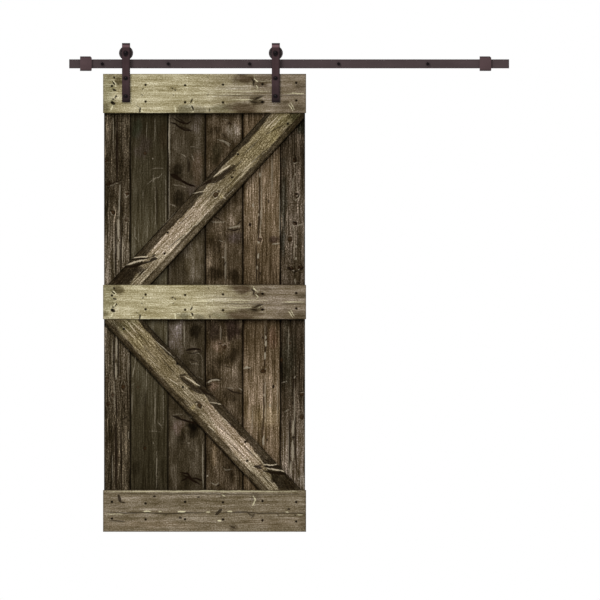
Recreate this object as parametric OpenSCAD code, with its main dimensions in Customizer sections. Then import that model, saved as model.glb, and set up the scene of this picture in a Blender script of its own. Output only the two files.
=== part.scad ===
// Sliding barn door: six planks, three cross rails and two braces, hung on a flat wall track by two
// J-shaped strap hangers with grooved wheels.
// The origin is on the wall's face, on the axis of the middle wall bolt. +X runs along the track to the
// right, +Y goes into the wall and +Z is up. The door hangs at the left-hand end of its travel.
// All sizes are in millimetres.

/* [Door] */
// Height of the door
door_h = 2082; // [1700:1:2500]
// Where the middle of the door hangs along the track
door_x = -204.5; // [-300:0.5:-100]
// Gap between the track's lower edge and the door's top
door_gap = 25.1; // [15:0.1:60]

/* [Planks] */
// Face width of the left-hand plank
left_plank_w = 120; // [95:1:180]
// Face width of each middle plank
plank_w = 170.5; // [140:0.5:210]
// Face width of the right-hand plank
right_plank_w = 112; // [95:1:180]
// Thickness of a plank
plank_t = 19; // [16:0.5:25]
// Bevel on the front edges where two planks meet
plank_bevel = 2.5; // [1:0.5:4]
// How far a tongue stands out of its plank
tongue_l = 8; // [5:0.5:10]
// Thickness of a tongue
tongue_t = 6; // [4:0.5:8]
// Room left round a tongue in its groove
tongue_gap = 0.3; // [0.1:0.1:0.8]

/* [Cross rails] */
// Thickness of the cross rails and of the braces
rail_t = 19; // [16:0.5:25]
// How far a cross rail runs past the planks at each side
rail_over = 4.5; // [0:0.5:10]
// Height of the top cross rail
top_rail_h = 178; // [150:1:220]
// Height of the middle cross rail
middle_rail_h = 156; // [120:1:200]
// Height of the bottom cross rail
bottom_rail_h = 190; // [150:1:240]
// From the door's top down to the middle cross rail's upper edge
middle_rail_drop = 959.5; // [800:0.5:1100]

/* [Braces] */
// Width of a brace
brace_w = 140; // [100:1:170]
// From the planks' edge to the middle of a brace's foot
brace_foot_in = 112; // [90:1:160]
// From the planks' other edge to the middle of a brace's head
brace_head_in = 78; // [60:1:130]

/* [Wood screws] */
// Radius of a wood screw's head
screw_head_r = 4; // [3:0.1:5]
// Radius of a wood screw's shank
screw_r = 2; // [1.5:0.1:2.5]
// Length of a wood screw
screw_l = 33; // [25:1:36]
// How deep a screw's head is sunk below the wood
screw_sink = 1.5; // [0.5:0.1:3]
// From a cross rail's edge to the nearest row of screws: top, middle and bottom rail
screw_row_in = [49, 43, 55]; // [30:1:60]
// From each plank's left edge to its column of screws
screw_column_in = [36, 69, 78, 80, 89, 72]; // [30:1:100]

/* [Track] */
// Length of the track bar
track_l = 2000; // [1700:1:2400]
// Height of the track bar
track_h = 41; // [30:1:50]
// Thickness of the track bar
track_t = 6; // [5:0.5:8]
// Chamfer along the bar's long edges
track_chamfer = 0.8; // [0.3:0.1:1.5]
// From the bar's left end to the first wall bolt
first_bolt_in = 150; // [120:1:200]
// From the first wall bolt to the second
second_bolt_pitch = 300; // [200:1:400]
// From the second wall bolt to the third, which is the middle one
third_bolt_pitch = 370; // [300:1:500]
// From the last wall bolt to the bar's right end
last_bolt_in = 370; // [200:1:400]

/* [Wall fixings] */
// Length of a wall spacer
spacer_l = 35; // [30:1:50]
// Outer radius of a wall spacer
spacer_r = 11; // [9:0.5:15]
// Radius of a wall bolt's plain shank
lag_r = 4; // [3:0.5:5]
// Radius of a wall bolt's threaded part
lag_thread_r = 3.75; // [2.75:0.25:4.75]
// Length of a wall bolt's threaded part without its point
lag_thread_l = 37; // [25:1:60]
// Length of a wall bolt's point
lag_point_l = 8; // [5:1:12]
// Width across the flats of a wall bolt's head
lag_head_w = 13; // [11:0.5:17]
// Height of a wall bolt's head
lag_head_h = 5.5; // [4:0.1:6]
// Radius of a wall bolt's washer
lag_washer_r = 9; // [7:0.5:12]
// Thickness of a wall bolt's washer
lag_washer_t = 1.6; // [1:0.1:2]

/* [End stops] */
// Width of an end stop
stop_w = 53; // [40:1:70]
// How far an end stop rises above the track bar
stop_rise = 13.6; // [10:0.1:18]
// How far an end stop reaches below the track bar
stop_drop = 11.8; // [8:0.1:16]
// Chamfer on the upper right-hand corner
stop_top_chamfer = 6; // [2:0.5:8]
// Chamfer on the lower right-hand corner
stop_low_chamfer = 3; // [1:0.5:6]
// From the bar's left end to the left stop
left_stop_in = 49.5; // [20:0.5:60]
// From the right stop to the bar's right end
right_stop_in = 81; // [20:0.5:120]
// Radius of a stop's set screws
set_screw_r = 3; // [2:0.5:4]
// Distance between a stop's two set screws
set_screw_pitch = 26; // [18:1:34]
// Width across the flats of a set screw's socket
set_screw_socket = 3; // [2:0.5:3.5]

/* [Hangers] */
// Width of a hanger strap
strap_w = 37; // [30:1:45]
// Thickness of a hanger strap
strap_t = 5; // [4:0.5:6]
// How far a strap reaches down the door
strap_drop = 130; // [115:1:160]
// Room between the wheel's top and the strap's bend
strap_cap_gap = 8.3; // [6:0.1:12]
// From the planks' left edge to the left strap
left_strap_in = 100; // [60:1:102]
// From the planks' right edge to the right strap
right_strap_in = 133; // [130:1:180]
// From the door's top to the upper strap bolt
strap_bolt_top = 20; // [15:1:30]
// Distance between a strap's two bolts
strap_bolt_pitch = 82; // [60:1:90]
// Radius of a strap bolt
strap_bolt_r = 4; // [3:0.5:5]
// Radius of a strap bolt's domed head
strap_bolt_head_r = 7; // [6:0.5:9]
// Height of a strap bolt's domed head
strap_bolt_head_h = 4.4; // [3:0.1:5]
// Width across the flats of a strap bolt's socket
strap_bolt_socket = 5; // [4:0.5:6]
// Radius of the washer behind the door
back_washer_r = 12; // [9:0.5:15]
// Thickness of the washer behind the door
back_washer_t = 1.6; // [1:0.1:2]
// Width across the flats of a strap bolt's nut
strap_nut_w = 13; // [11:0.5:15]
// Height of a strap bolt's nut
strap_nut_h = 6.5; // [5:0.1:7]

/* [Wheels] */
// Diameter over a wheel's flanges
wheel_d = 64; // [54:1:80]
// Width of a wheel
wheel_w = 20; // [18:0.5:26]
// Depth of the groove that runs on the track
groove_depth = 3.5; // [2.5:0.5:6]
// Depth of the dished ring in a wheel's faces
wheel_dish = 2; // [1:0.5:4]
// Clearance between a wheel and the strap on each side
wheel_side_gap = 2.5; // [2:0.1:4]
// Outer radius of the ball bearing
bearing_r = 13; // [12:0.5:15]
// Width of the ball bearing
bearing_w = 8; // [7:0.5:10]
// Wall of each bearing ring
ring_t = 2.5; // [2:0.1:3]
// Radius of a bearing ball
ball_r = 1.9; // [1.7:0.1:2]
// Number of balls in a bearing
balls = 9; // [6:1:9]
// Radius of an axle
axle_r = 5; // [4:0.5:5.5]
// Radius of an axle's domed head
axle_head_r = 8.75; // [7:0.25:10]
// Height of an axle's domed head
axle_head_h = 5.5; // [4:0.1:6]
// Width across the flats of an axle's socket
axle_socket = 6; // [4:0.5:7]
// Wall of the sleeves beside the bearing
sleeve_t = 2; // [1.5:0.1:2.3]
// Width across the flats of an axle's nut
axle_nut_w = 17; // [14:0.5:19]
// Height of an axle's nut, with its lock collar
axle_nut_h = 9.5; // [7:0.1:10]

/* [Hidden] */
$fn = 96;
// Clearances
bolt_gap = 0.25;        // between a bolt and the hole it passes through
thread_gap = 0.05;      // between a screw and the hole it is threaded in
running_gap = 0.03;     // between an axle and the bearing on it
race_gap = 0.05;        // between a ball and its races
track_side_gap = 0.6;   // between the track bar and each side of a wheel's groove
track_top_gap = 0.3;    // between the track bar and the bottom of a wheel's groove
stop_gap = 0.3;         // between the track bar and an end stop's slot
bolt_end = 1.5;         // how far a bolt stands out of its nut
cut = 1;                // how far a cutting shape runs past the surface that it cuts

// Across the door
plank_widths = [left_plank_w, plank_w, plank_w, plank_w, plank_w, right_plank_w];
planks = len(plank_widths);
function sum_to(list, n) = n == 0 ? 0 : list[n - 1] + sum_to(list, n - 1);
panel_w = sum_to(plank_widths, planks);
panel_x0 = door_x - panel_w / 2;
panel_x1 = door_x + panel_w / 2;
function plank_x(i) = panel_x0 + sum_to(plank_widths, i);

// Up the door
door_z1 = -track_h / 2 - door_gap;
door_z0 = door_z1 - door_h;
middle_rail_z0 = door_z1 - middle_rail_drop - middle_rail_h;
rail_names = ["top_rail", "middle_rail", "bottom_rail"];
rail_z0 = [door_z1 - top_rail_h, middle_rail_z0, door_z0];
rail_h = [top_rail_h, middle_rail_h, bottom_rail_h];

// From the wall to the room
track_back_y = -spacer_l;
track_y = track_back_y - track_t / 2;
strap_inner_r = wheel_w / 2 + wheel_side_gap;
strap_outer_r = strap_inner_r + strap_t;
strap_front_y = track_y - strap_outer_r;
strap_rear_y = track_y + strap_outer_r;
door_front_y = track_y - strap_inner_r;
plank_front_y = door_front_y + rail_t;
plank_back_y = plank_front_y + plank_t;

// Along the track: the middle wall bolt is at X 0
track_x0 = -first_bolt_in - second_bolt_pitch - third_bolt_pitch;
track_x1 = track_x0 + track_l;
last_bolt_x = track_x1 - last_bolt_in;
wall_bolt_x = [
    track_x0 + first_bolt_in, track_x0 + first_bolt_in + second_bolt_pitch,
    0, last_bolt_x / 2, last_bolt_x
];

// Wheels and hangers
rolling_r = wheel_d / 2 - groove_depth;
axle_z = track_h / 2 + track_top_gap + rolling_r;
bend_z = axle_z + wheel_d / 2 + strap_cap_gap - strap_inner_r;
strap_z0 = door_z1 - strap_drop;
sides = ["left", "right"];
hanger_x = [panel_x0 + left_strap_in, panel_x1 - right_strap_in];
stop_x = [track_x0 + left_stop_in, track_x1 - right_stop_in - stop_w];
strap_bolt_z = [door_z1 - strap_bolt_top, door_z1 - strap_bolt_top - strap_bolt_pitch];
bearing_bore_r = axle_r + running_gap;
inner_ring_r = bearing_bore_r + ring_t;
outer_ring_r = bearing_r - ring_t;
ball_pitch_r = (inner_ring_r + outer_ring_r) / 2;

// How far above its row each screw was driven, on the upper and the lower row of a cross rail
screw_drift = [
    [[-6, -1, -3, 0, 2, 8], [0, 3, 0, -1, 1, 8]],
    [[-5, -1, -3, 0, 3, 6], [-1, 2, 0, -2, 1, 6]],
    [[1, -6, 1, -1, 5, 0], [5, 1, 2, 1, -3, -8]]
];
// A brace's screws: distance from its foot, and distance below its middle line
upper_foot_screws = [[216, 22], [295, -31]];
lower_foot_screws = [[200, 20], [269, -33]];
// The same, but from the brace's head
upper_head_screws = [[387, 12], [292, -39], [36, 33]];
lower_head_screws = [[417, 5], [322, -48], [41, 20]];

// A brace's foot and head, as points in X and Z
upper_foot = [panel_x0 + brace_foot_in, door_z1 - middle_rail_drop];
upper_head = [panel_x1 - brace_head_in, door_z1 - top_rail_h];
lower_foot = [panel_x1 - brace_foot_in, door_z0 + bottom_rail_h];
lower_head = [panel_x0 + brace_head_in, middle_rail_z0];

// Where the screws are, as points in X and Z
function rail_screws(rail) = [
    for (i = [0 : planks - 1], row = [0, 1])
        [plank_x(i) + screw_column_in[i],
         (row == 0 ? rail_z0[rail] + rail_h[rail] - screw_row_in[rail]
                   : rail_z0[rail] + screw_row_in[rail]) + screw_drift[rail][row][i]]
];
function along(foot, head) = (head - foot) / norm(head - foot);
function below(u) = u.x > 0 ? [u.y, -u.x] : [-u.y, u.x];
function brace_screws(foot, head, from_foot, from_head) = let (u = along(foot, head)) concat(
    [for (s = from_foot) foot + u * s[0] + below(u) * s[1]],
    [for (s = from_head) head - u * s[0] + below(u) * s[1]]
);
upper_screws = brace_screws(upper_foot, upper_head, upper_foot_screws, upper_head_screws);
lower_screws = brace_screws(lower_foot, lower_head, lower_foot_screws, lower_head_screws);

// ---- Shapes that several pieces use ----

// A round bar along Y that starts at back_y and runs towards the room
module rod(x, z, back_y, l, r) {
    translate([x, back_y, z]) rotate([90, 0, 0]) cylinder(r = r, h = l);
}

// A ring along Y that starts at back_y and runs towards the room
module ring(x, z, back_y, l, r, bore) {
    difference() {
        rod(x, z, back_y, l, r);
        rod(x, z, back_y + cut, l + 2 * cut, bore);
    }
}

// A hexagonal bar along Y with its corners up and down
module hex_rod(x, z, back_y, l, flats) {
    translate([x, back_y, z]) rotate([90, 30, 0]) cylinder(r = flats / sqrt(3), h = l, $fn = 6);
}

// A low domed head with a hexagonal socket, standing on the surface at seat_y
module domed_head(x, z, seat_y, r, h, socket) {
    rim = h / 4;
    dome = h - rim;
    sphere_r = (r * r + dome * dome) / (2 * dome);
    translate([x, seat_y, z]) rotate([90, 0, 0]) difference() {
        intersection() {
            cylinder(r = r, h = h);
            translate([0, 0, h - sphere_r]) sphere(r = sphere_r);
        }
        translate([0, 0, h / 2]) rotate(30) cylinder(r = socket / sqrt(3), h = h, $fn = 6);
    }
}

// A hexagonal nut with its front face at front_y
module hex_nut(x, z, front_y, h, flats, bore) {
    difference() {
        intersection() {
            hex_rod(x, z, front_y + h, h, flats);
            translate([x, front_y + h, z]) rotate([90, 0, 0])
                cylinder(r1 = flats * 0.52, r2 = flats * 0.52 + h, h = h);
        }
        rod(x, z, front_y + h + cut, h + 2 * cut, bore);
    }
}

// A countersunk wood screw whose head lies screw_sink below the wood
module wood_screw(x, z) {
    head_y = door_front_y + screw_sink;
    cone = screw_head_r - screw_r;
    tip = 3 * screw_r;
    difference() {
        union() {
            translate([x, head_y + cone, z]) rotate([90, 0, 0])
                cylinder(r1 = screw_r, r2 = screw_head_r, h = cone);
            rod(x, z, head_y + screw_l - tip, screw_l - tip - cone, screw_r);
            translate([x, head_y + screw_l, z]) rotate([90, 0, 0])
                cylinder(r1 = screw_r / 5, r2 = screw_r, h = tip);
        }
        // Cross-shaped driver recess
        for (a = [20, 110])
            translate([x, head_y, z]) rotate([0, a, 0])
                cube([screw_head_r * 1.1, 2 * cone * 0.7, screw_head_r / 4], center = true);
    }
}

// The hole that a wood screw leaves: a plug hole, the countersink, and the hole for its shank
module screw_hole(x, z) {
    head_y = door_front_y + screw_sink;
    cone = screw_head_r - screw_r;
    rod(x, z, head_y, screw_sink + cut, screw_head_r);
    translate([x, head_y + cone, z]) rotate([90, 0, 0])
        cylinder(r1 = screw_r, r2 = screw_head_r, h = cone);
    rod(x, z, head_y + screw_l + thread_gap, screw_l, screw_r + thread_gap);
}

// The holes for all four strap bolts
module strap_bolt_holes() {
    for (x = hanger_x, z = strap_bolt_z)
        rod(x, z, plank_back_y + cut, plank_back_y - strap_front_y + 2 * cut, strap_bolt_r + bolt_gap);
}

// ---- Door ----

module plank(i) {
    x = plank_x(i);
    w = plank_widths[i];
    has_left = i > 0;
    has_right = i < planks - 1;
    tongue_y = (plank_front_y + plank_back_y) / 2;
    mine = [for (rail = [0 : 2], p = rail_screws(rail)) if (p.x > x && p.x < x + w) p];
    color(["#3f372b", "#40382c", "#4b4134", "#4d4435", "#5e523e", "#473e31"][i]) difference() {
        union() {
            translate([x, plank_front_y, door_z0]) cube([w, plank_t, door_h]);
            if (has_right)
                translate([x + w - cut, tongue_y - tongue_t / 2, door_z0])
                    cube([tongue_l + cut, tongue_t, door_h]);
        }
        if (has_left)
            translate([x - cut, tongue_y - tongue_t / 2 - tongue_gap, door_z0 - cut])
                cube([tongue_l + tongue_gap + cut, tongue_t + 2 * tongue_gap, door_h + 2 * cut]);
        for (edge = concat(has_left ? [x] : [], has_right ? [x + w] : []))
            translate([edge, plank_front_y, door_z0 - cut]) rotate([0, 0, 45])
                cube([plank_bevel * sqrt(2), plank_bevel * sqrt(2), 2 * (door_h + 2 * cut)], center = true);
        for (p = concat(mine, upper_screws, lower_screws))
            screw_hole(p.x, p.y);
        strap_bolt_holes();
    }
}

module cross_rail(rail) {
    color(["#8f8468", "#8b8066", "#746a55"][rail]) difference() {
        translate([panel_x0 - rail_over, door_front_y, rail_z0[rail]])
            cube([panel_w + 2 * rail_over, rail_t, rail_h[rail]]);
        for (p = rail_screws(rail))
            screw_hole(p.x, p.y);
        if (rail == 0)
            strap_bolt_holes();
    }
}

// A brace fills the strip from its foot to its head, cut off at the cross rails and the planks' edges
module brace(foot, head, screws) {
    u = along(foot, head);
    side = below(u) * brace_w / 2;
    run_on = u * 2 * brace_w;
    color("#82745f") difference() {
        intersection() {
            translate([0, plank_front_y, 0]) rotate([90, 0, 0]) linear_extrude(rail_t)
                polygon([foot - run_on + side, head + run_on + side,
                         head + run_on - side, foot - run_on - side]);
            translate([panel_x0, door_front_y - cut, foot.y])
                cube([panel_w, rail_t + 2 * cut, head.y - foot.y]);
        }
        for (p = screws)
            screw_hole(p.x, p.y);
    }
}

module screws(points) {
    color("#2c2622") for (p = points)
        wood_screw(p.x, p.y);
}

// ---- Track ----

module track_bar() {
    c = track_chamfer;
    y0 = track_back_y - track_t;
    y1 = track_back_y;
    z = track_h / 2;
    color("#4d4142") difference() {
        translate([track_x0, 0, 0]) rotate([90, 0, 90]) linear_extrude(track_l)
            polygon([[y0 + c, -z], [y1 - c, -z], [y1, c - z], [y1, z - c],
                     [y1 - c, z], [y0 + c, z], [y0, z - c], [y0, c - z]]);
        for (x = wall_bolt_x)
            rod(x, 0, y1 + cut, track_t + 2 * cut, lag_r + bolt_gap);
    }
}

module wall_spacer(i) {
    color("#453a3b") ring(wall_bolt_x[i], 0, 0, spacer_l, spacer_r, lag_r + bolt_gap);
}

module wall_washer(i) {
    color("#3d3334")
        ring(wall_bolt_x[i], 0, track_back_y - track_t, lag_washer_t, lag_washer_r, lag_r + bolt_gap);
}

module wall_bolt(i) {
    x = wall_bolt_x[i];
    seat_y = track_back_y - track_t - lag_washer_t;
    color("#352c2d") {
        intersection() {
            hex_rod(x, 0, seat_y, lag_head_h, lag_head_w);
            translate([x, seat_y, 0]) rotate([90, 0, 0])
                cylinder(r1 = lag_head_w * 0.52 + lag_head_h, r2 = lag_head_w * 0.52, h = lag_head_h);
        }
        rod(x, 0, 0, -seat_y, lag_r);
        rod(x, 0, lag_thread_l, lag_thread_l, lag_thread_r);
        translate([x, lag_thread_l + lag_point_l, 0]) rotate([90, 0, 0])
            cylinder(r1 = lag_thread_r / 5, r2 = lag_thread_r, h = lag_point_l);
    }
}

// A block threaded on the bar's end and held by two set screws from behind
module end_stop(side) {
    y0 = track_y - wheel_w / 2;
    z0 = -track_h / 2 - stop_drop;
    z1 = track_h / 2 + stop_rise;
    color("#4a3f40") difference() {
        translate([stop_x[side], y0 + wheel_w, 0]) rotate([90, 0, 0]) linear_extrude(wheel_w)
            polygon([[0, z0], [stop_w - stop_low_chamfer, z0], [stop_w, z0 + stop_low_chamfer],
                     [stop_w, z1 - stop_top_chamfer], [stop_w - stop_top_chamfer, z1], [0, z1]]);
        translate([stop_x[side] - cut, track_back_y - track_t - stop_gap, -track_h / 2 - stop_gap])
            cube([stop_w + 2 * cut, track_t + 2 * stop_gap, track_h + 2 * stop_gap]);
        for (x = set_screw_x(side))
            rod(x, 0, y0 + wheel_w + cut, wheel_w / 2 + cut, set_screw_r + thread_gap);
    }
}
function set_screw_x(side) = [for (k = [-1, 1]) stop_x[side] + stop_w / 2 + k * set_screw_pitch / 2];

module stop_set_screws(side) {
    l = wheel_w / 2 - track_t / 2;
    color("#2b2425") for (x = set_screw_x(side)) difference() {
        rod(x, 0, track_back_y + l, l, set_screw_r);
        hex_rod(x, 0, track_back_y + l + cut, set_screw_r + cut, set_screw_socket);
    }
}

// ---- Hangers ----

// A flat bar that stands in front of the door, bends over the wheel and ends behind it
module hanger_strap(side) {
    x = hanger_x[side];
    color("#44373a") difference() {
        union() {
            translate([x - strap_w / 2, strap_front_y, strap_z0])
                cube([strap_w, strap_t, bend_z - strap_z0]);
            translate([x - strap_w / 2, strap_rear_y - strap_t, axle_z])
                cube([strap_w, strap_t, bend_z - axle_z]);
            rod(x, axle_z, strap_rear_y, strap_t, strap_w / 2);
            intersection() {
                translate([x - strap_w / 2, track_y, bend_z]) rotate([0, 90, 0]) difference() {
                    cylinder(r = strap_outer_r, h = strap_w);
                    translate([0, 0, -cut]) cylinder(r = strap_inner_r, h = strap_w + 2 * cut);
                }
                translate([x - strap_w, strap_front_y - cut, bend_z])
                    cube([2 * strap_w, 2 * (strap_outer_r + cut), strap_outer_r + cut]);
            }
        }
        rod(x, axle_z, strap_rear_y + cut, 2 * (strap_outer_r + cut), axle_r + bolt_gap);
        strap_bolt_holes();
    }
}

module strap_bolts(side) {
    x = hanger_x[side];
    end_y = plank_back_y + back_washer_t + strap_nut_h + bolt_end;
    color("#2b2325") for (z = strap_bolt_z) {
        domed_head(x, z, strap_front_y, strap_bolt_head_r, strap_bolt_head_h, strap_bolt_socket);
        rod(x, z, end_y, end_y - strap_front_y, strap_bolt_r);
    }
}

module strap_washers(side) {
    color("#8d8a86") for (z = strap_bolt_z)
        ring(hanger_x[side], z, plank_back_y + back_washer_t, back_washer_t, back_washer_r,
             strap_bolt_r + bolt_gap);
}

module strap_nuts(side) {
    color("#8d8a86") for (z = strap_bolt_z)
        hex_nut(hanger_x[side], z, plank_back_y + back_washer_t, strap_nut_h, strap_nut_w,
                strap_bolt_r + thread_gap);
}

// ---- Wheels ----

// A grooved wheel: the bearing seat is open at the front and ends in a shoulder at the rear
module wheel(side) {
    x = hanger_x[side];
    r = wheel_d / 2;
    half = wheel_w / 2;
    groove = track_t / 2 + track_side_gap;
    edge = 1.5;
    dish_r0 = bearing_r + 4;
    dish_r1 = rolling_r - 4;
    shoulder_r = outer_ring_r + 0.5;
    color("#2f2628") translate([x, track_y, axle_z]) rotate([90, 0, 0]) difference() {
        rotate_extrude() polygon([
            [shoulder_r, -half], [dish_r0, -half], [dish_r0 + wheel_dish, wheel_dish - half],
            [dish_r1 - wheel_dish, wheel_dish - half], [dish_r1, -half], [r - edge, -half],
            [r, edge - half], [r, -groove - 0.6], [rolling_r, -groove], [rolling_r, groove],
            [r, groove + 0.6], [r, half - edge], [r - edge, half], [dish_r1, half],
            [dish_r1 - wheel_dish, half - wheel_dish], [dish_r0 + wheel_dish, half - wheel_dish],
            [dish_r0, half], [shoulder_r, half]
        ]);
        translate([0, 0, -bearing_w / 2]) cylinder(r = bearing_r, h = half + bearing_w / 2 + cut);
    }
}

// The groove that the balls run in
module race(x) {
    translate([x, track_y, axle_z]) rotate([90, 0, 0]) rotate_extrude()
        translate([ball_pitch_r, 0]) circle(r = ball_r + race_gap, $fn = 48);
}

module bearing_outer_ring(side) {
    x = hanger_x[side];
    color("#b4b4b4") difference() {
        ring(x, axle_z, track_y + bearing_w / 2, bearing_w, bearing_r, outer_ring_r);
        race(x);
    }
}

module bearing_inner_ring(side) {
    x = hanger_x[side];
    color("#b4b4b4") difference() {
        ring(x, axle_z, track_y + bearing_w / 2, bearing_w, inner_ring_r, bearing_bore_r);
        race(x);
    }
}

module bearing_balls(side) {
    color("#d0d0d0") for (k = [0 : balls - 1])
        translate([hanger_x[side], track_y, axle_z]) rotate([0, k * 360 / balls, 0])
            translate([ball_pitch_r, 0, 0]) sphere(r = ball_r, $fn = 48);
}

module axle(side) {
    x = hanger_x[side];
    end_y = strap_rear_y + axle_nut_h + bolt_end;
    color("#2b2325") {
        domed_head(x, axle_z, strap_front_y, axle_head_r, axle_head_h, axle_socket);
        rod(x, axle_z, end_y, end_y - strap_front_y, axle_r);
    }
}

// One sleeve fills the space between the bearing and each leg of the strap
module axle_sleeves(side) {
    l = strap_inner_r - bearing_w / 2;
    color("#6b6768") for (back_y = [track_y + strap_inner_r, track_y - bearing_w / 2])
        ring(hanger_x[side], axle_z, back_y, l, axle_r + thread_gap + sleeve_t, axle_r + thread_gap);
}

module axle_nut(side) {
    x = hanger_x[side];
    collar_h = axle_nut_h / 5;
    color("#3a3032") {
        hex_nut(x, axle_z, strap_rear_y, axle_nut_h - collar_h, axle_nut_w, axle_r + thread_gap);
        ring(x, axle_z, strap_rear_y + axle_nut_h, collar_h, axle_nut_w * 0.44, axle_r + thread_gap);
    }
}

// ---- What is drawn ----

for (i = [0 : planks - 1])
    plank(i);
for (i = [0 : len(rail_names) - 1]) {
    cross_rail(i);
    screws(rail_screws(i));
}
brace(upper_foot, upper_head, upper_screws);  // upper_brace
brace(lower_foot, lower_head, lower_screws);  // lower_brace
screws(upper_screws);  // upper_brace_screws
screws(lower_screws);  // lower_brace_screws
track_bar();
for (i = [0 : len(wall_bolt_x) - 1]) {
    wall_spacer(i);
    wall_bolt(i);
    wall_washer(i);
}
for (s = [0, 1]) {
    end_stop(s);
    stop_set_screws(s);
    hanger_strap(s);
    strap_bolts(s);
    strap_washers(s);
    strap_nuts(s);
    wheel(s);
    bearing_outer_ring(s);
    bearing_balls(s);
    bearing_inner_ring(s);
    axle(s);
    axle_sleeves(s);
    axle_nut(s);
}
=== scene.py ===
"""Finish of a sliding barn door on a flat track: weathered boards, dark coated hardware and a studio."""

import math

import bmesh
import bpy
import numpy as np
from bpy.props import FloatProperty, FloatVectorProperty, PointerProperty
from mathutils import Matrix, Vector


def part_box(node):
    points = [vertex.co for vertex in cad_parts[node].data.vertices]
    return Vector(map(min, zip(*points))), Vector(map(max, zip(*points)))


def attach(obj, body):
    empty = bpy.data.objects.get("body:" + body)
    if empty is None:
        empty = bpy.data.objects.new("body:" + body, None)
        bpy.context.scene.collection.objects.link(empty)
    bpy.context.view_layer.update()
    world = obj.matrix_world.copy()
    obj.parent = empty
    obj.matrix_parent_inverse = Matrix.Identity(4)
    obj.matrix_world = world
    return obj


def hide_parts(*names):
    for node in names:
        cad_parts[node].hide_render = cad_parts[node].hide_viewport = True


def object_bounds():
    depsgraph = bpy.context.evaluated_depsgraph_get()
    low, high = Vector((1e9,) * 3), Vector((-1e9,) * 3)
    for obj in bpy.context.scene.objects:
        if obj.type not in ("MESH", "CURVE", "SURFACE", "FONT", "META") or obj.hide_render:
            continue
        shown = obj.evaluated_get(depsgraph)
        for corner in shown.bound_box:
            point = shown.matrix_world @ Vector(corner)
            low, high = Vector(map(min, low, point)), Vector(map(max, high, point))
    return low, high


bl_info = {
    "name": "Sliding barn door",
    "version": (1, 0, 0),
    "blender": (4, 5, 0),
    "location": "3D View > Sidebar > Barn door",
    "description": "Builds the weathered boards, the hardware finishes and the studio of a sliding barn door",
    "category": "Object",
}

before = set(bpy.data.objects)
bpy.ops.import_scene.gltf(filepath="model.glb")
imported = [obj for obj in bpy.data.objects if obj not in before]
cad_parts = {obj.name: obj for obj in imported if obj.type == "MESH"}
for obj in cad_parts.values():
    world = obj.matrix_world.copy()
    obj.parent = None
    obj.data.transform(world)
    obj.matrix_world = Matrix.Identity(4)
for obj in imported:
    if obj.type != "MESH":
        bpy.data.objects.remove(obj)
cad_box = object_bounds()
# a millimetre in metres
MM = 0.001
PLANKS = 6
RAILS = ("top_rail", "middle_rail", "bottom_rail")
BRACES = ("upper_brace", "lower_brace")
SIDES = ("left", "right")
WALL_BOLTS = 5


def paint(red, green, blue):
    """A colour given from 0 to 255 as a paint chart gives it, in the linear values that a shader takes."""
    return tuple(((c / 255 + 0.055) / 1.055) ** 2.4 for c in (red, green, blue))


def colour(name, description, *rgb):
    return FloatVectorProperty(name=name, description=description, default=paint(*rgb), size=3, min=0, max=1,
                               subtype="COLOR")


def length(name, description, default):
    return FloatProperty(name=name, description=description, default=default * MM, min=0, unit="LENGTH",
                         precision=4)


class BarnDoorSizes(bpy.types.PropertyGroup):
    """Sizes of the weathering and of the meshes that carry it"""
    plank_step: length("Plank mesh step", "Distance between mesh lines along a plank", 3.6)
    across_step: length("Mesh step across", "Distance between mesh lines across the boards", 2.9)
    rail_step: length("Rail and brace mesh step", "Distance between mesh lines along rails and braces", 3.0)
    joint_width: length("Joint half width", "How far a plank's edge falls back beside a joint", 3.0)
    joint_depth: length("Joint depth", "Depth of the groove between two planks", 5.5)
    grain_depth: length("Grain depth", "Depth of the weathered grain", 0.8)
    crack_depth: length("Crack depth", "Depth of an open crack", 2.6)
    dimple_radius: length("Screw dimple", "Radius of the dimple round a sunk screw head", 4.7)
    thread_pitch: length("Thread pitch", "Pitch of the wall bolts' thread", 3.0)
    steel_bevel: length("Steel edge", "Width of the eased edges on straps and stops", 0.7)


class BarnDoorColours(bpy.types.PropertyGroup):
    """Stains, coatings and metals of the door"""
    plank_1: colour("Plank 1", "Stain of the first plank from the left", 66, 57, 43)
    plank_2: colour("Plank 2", "Stain of the second plank", 54, 48, 34)
    plank_3: colour("Plank 3", "Stain of the third plank", 59, 51, 38)
    plank_4: colour("Plank 4", "Stain of the fourth plank", 69, 58, 43)
    plank_5: colour("Plank 5", "Stain of the fifth plank", 96, 81, 62)
    plank_6: colour("Plank 6", "Stain of the sixth plank", 69, 59, 46)
    rail: colour("Rail", "Stain of the top and middle rails' left half", 169, 160, 130)
    rail_brown: colour("Rail, browner", "Stain of the rails' right half", 121, 109, 93)
    bottom_rail: colour("Bottom rail", "Stain of the bottom rail", 113, 102, 84)
    brace: colour("Brace", "Stain of the braces' face", 126, 114, 92)
    wane: colour("Brace edges", "Dark stain along the braces' falling edges", 50, 41, 27)
    crack: colour("Cracks", "The dark inside of cracks and joints", 21, 11, 2)
    knot: colour("Knots", "Heart of the knots", 48, 31, 14)
    coating: colour("Coating", "Dark powder coating of the track and its stops", 68, 56, 57)
    strap: colour("Straps", "Darker powder coating of the hanger straps", 68, 51, 53)
    bolt: colour("Bolts", "Blackened bolts", 15, 7, 11)
    screw: colour("Wood screws", "Blackened wood screws, sunk in the boards", 15, 10, 6)
    nylon: colour("Wheels", "Moulded wheels", 52, 42, 42)
    zinc: colour("Zinc", "Plated nuts and washers behind the door", 168, 168, 164)
    steel: colour("Bearing steel", "Rings and balls of the wheels' bearings", 120, 118, 116)


# ---- Writing materials ----

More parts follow.
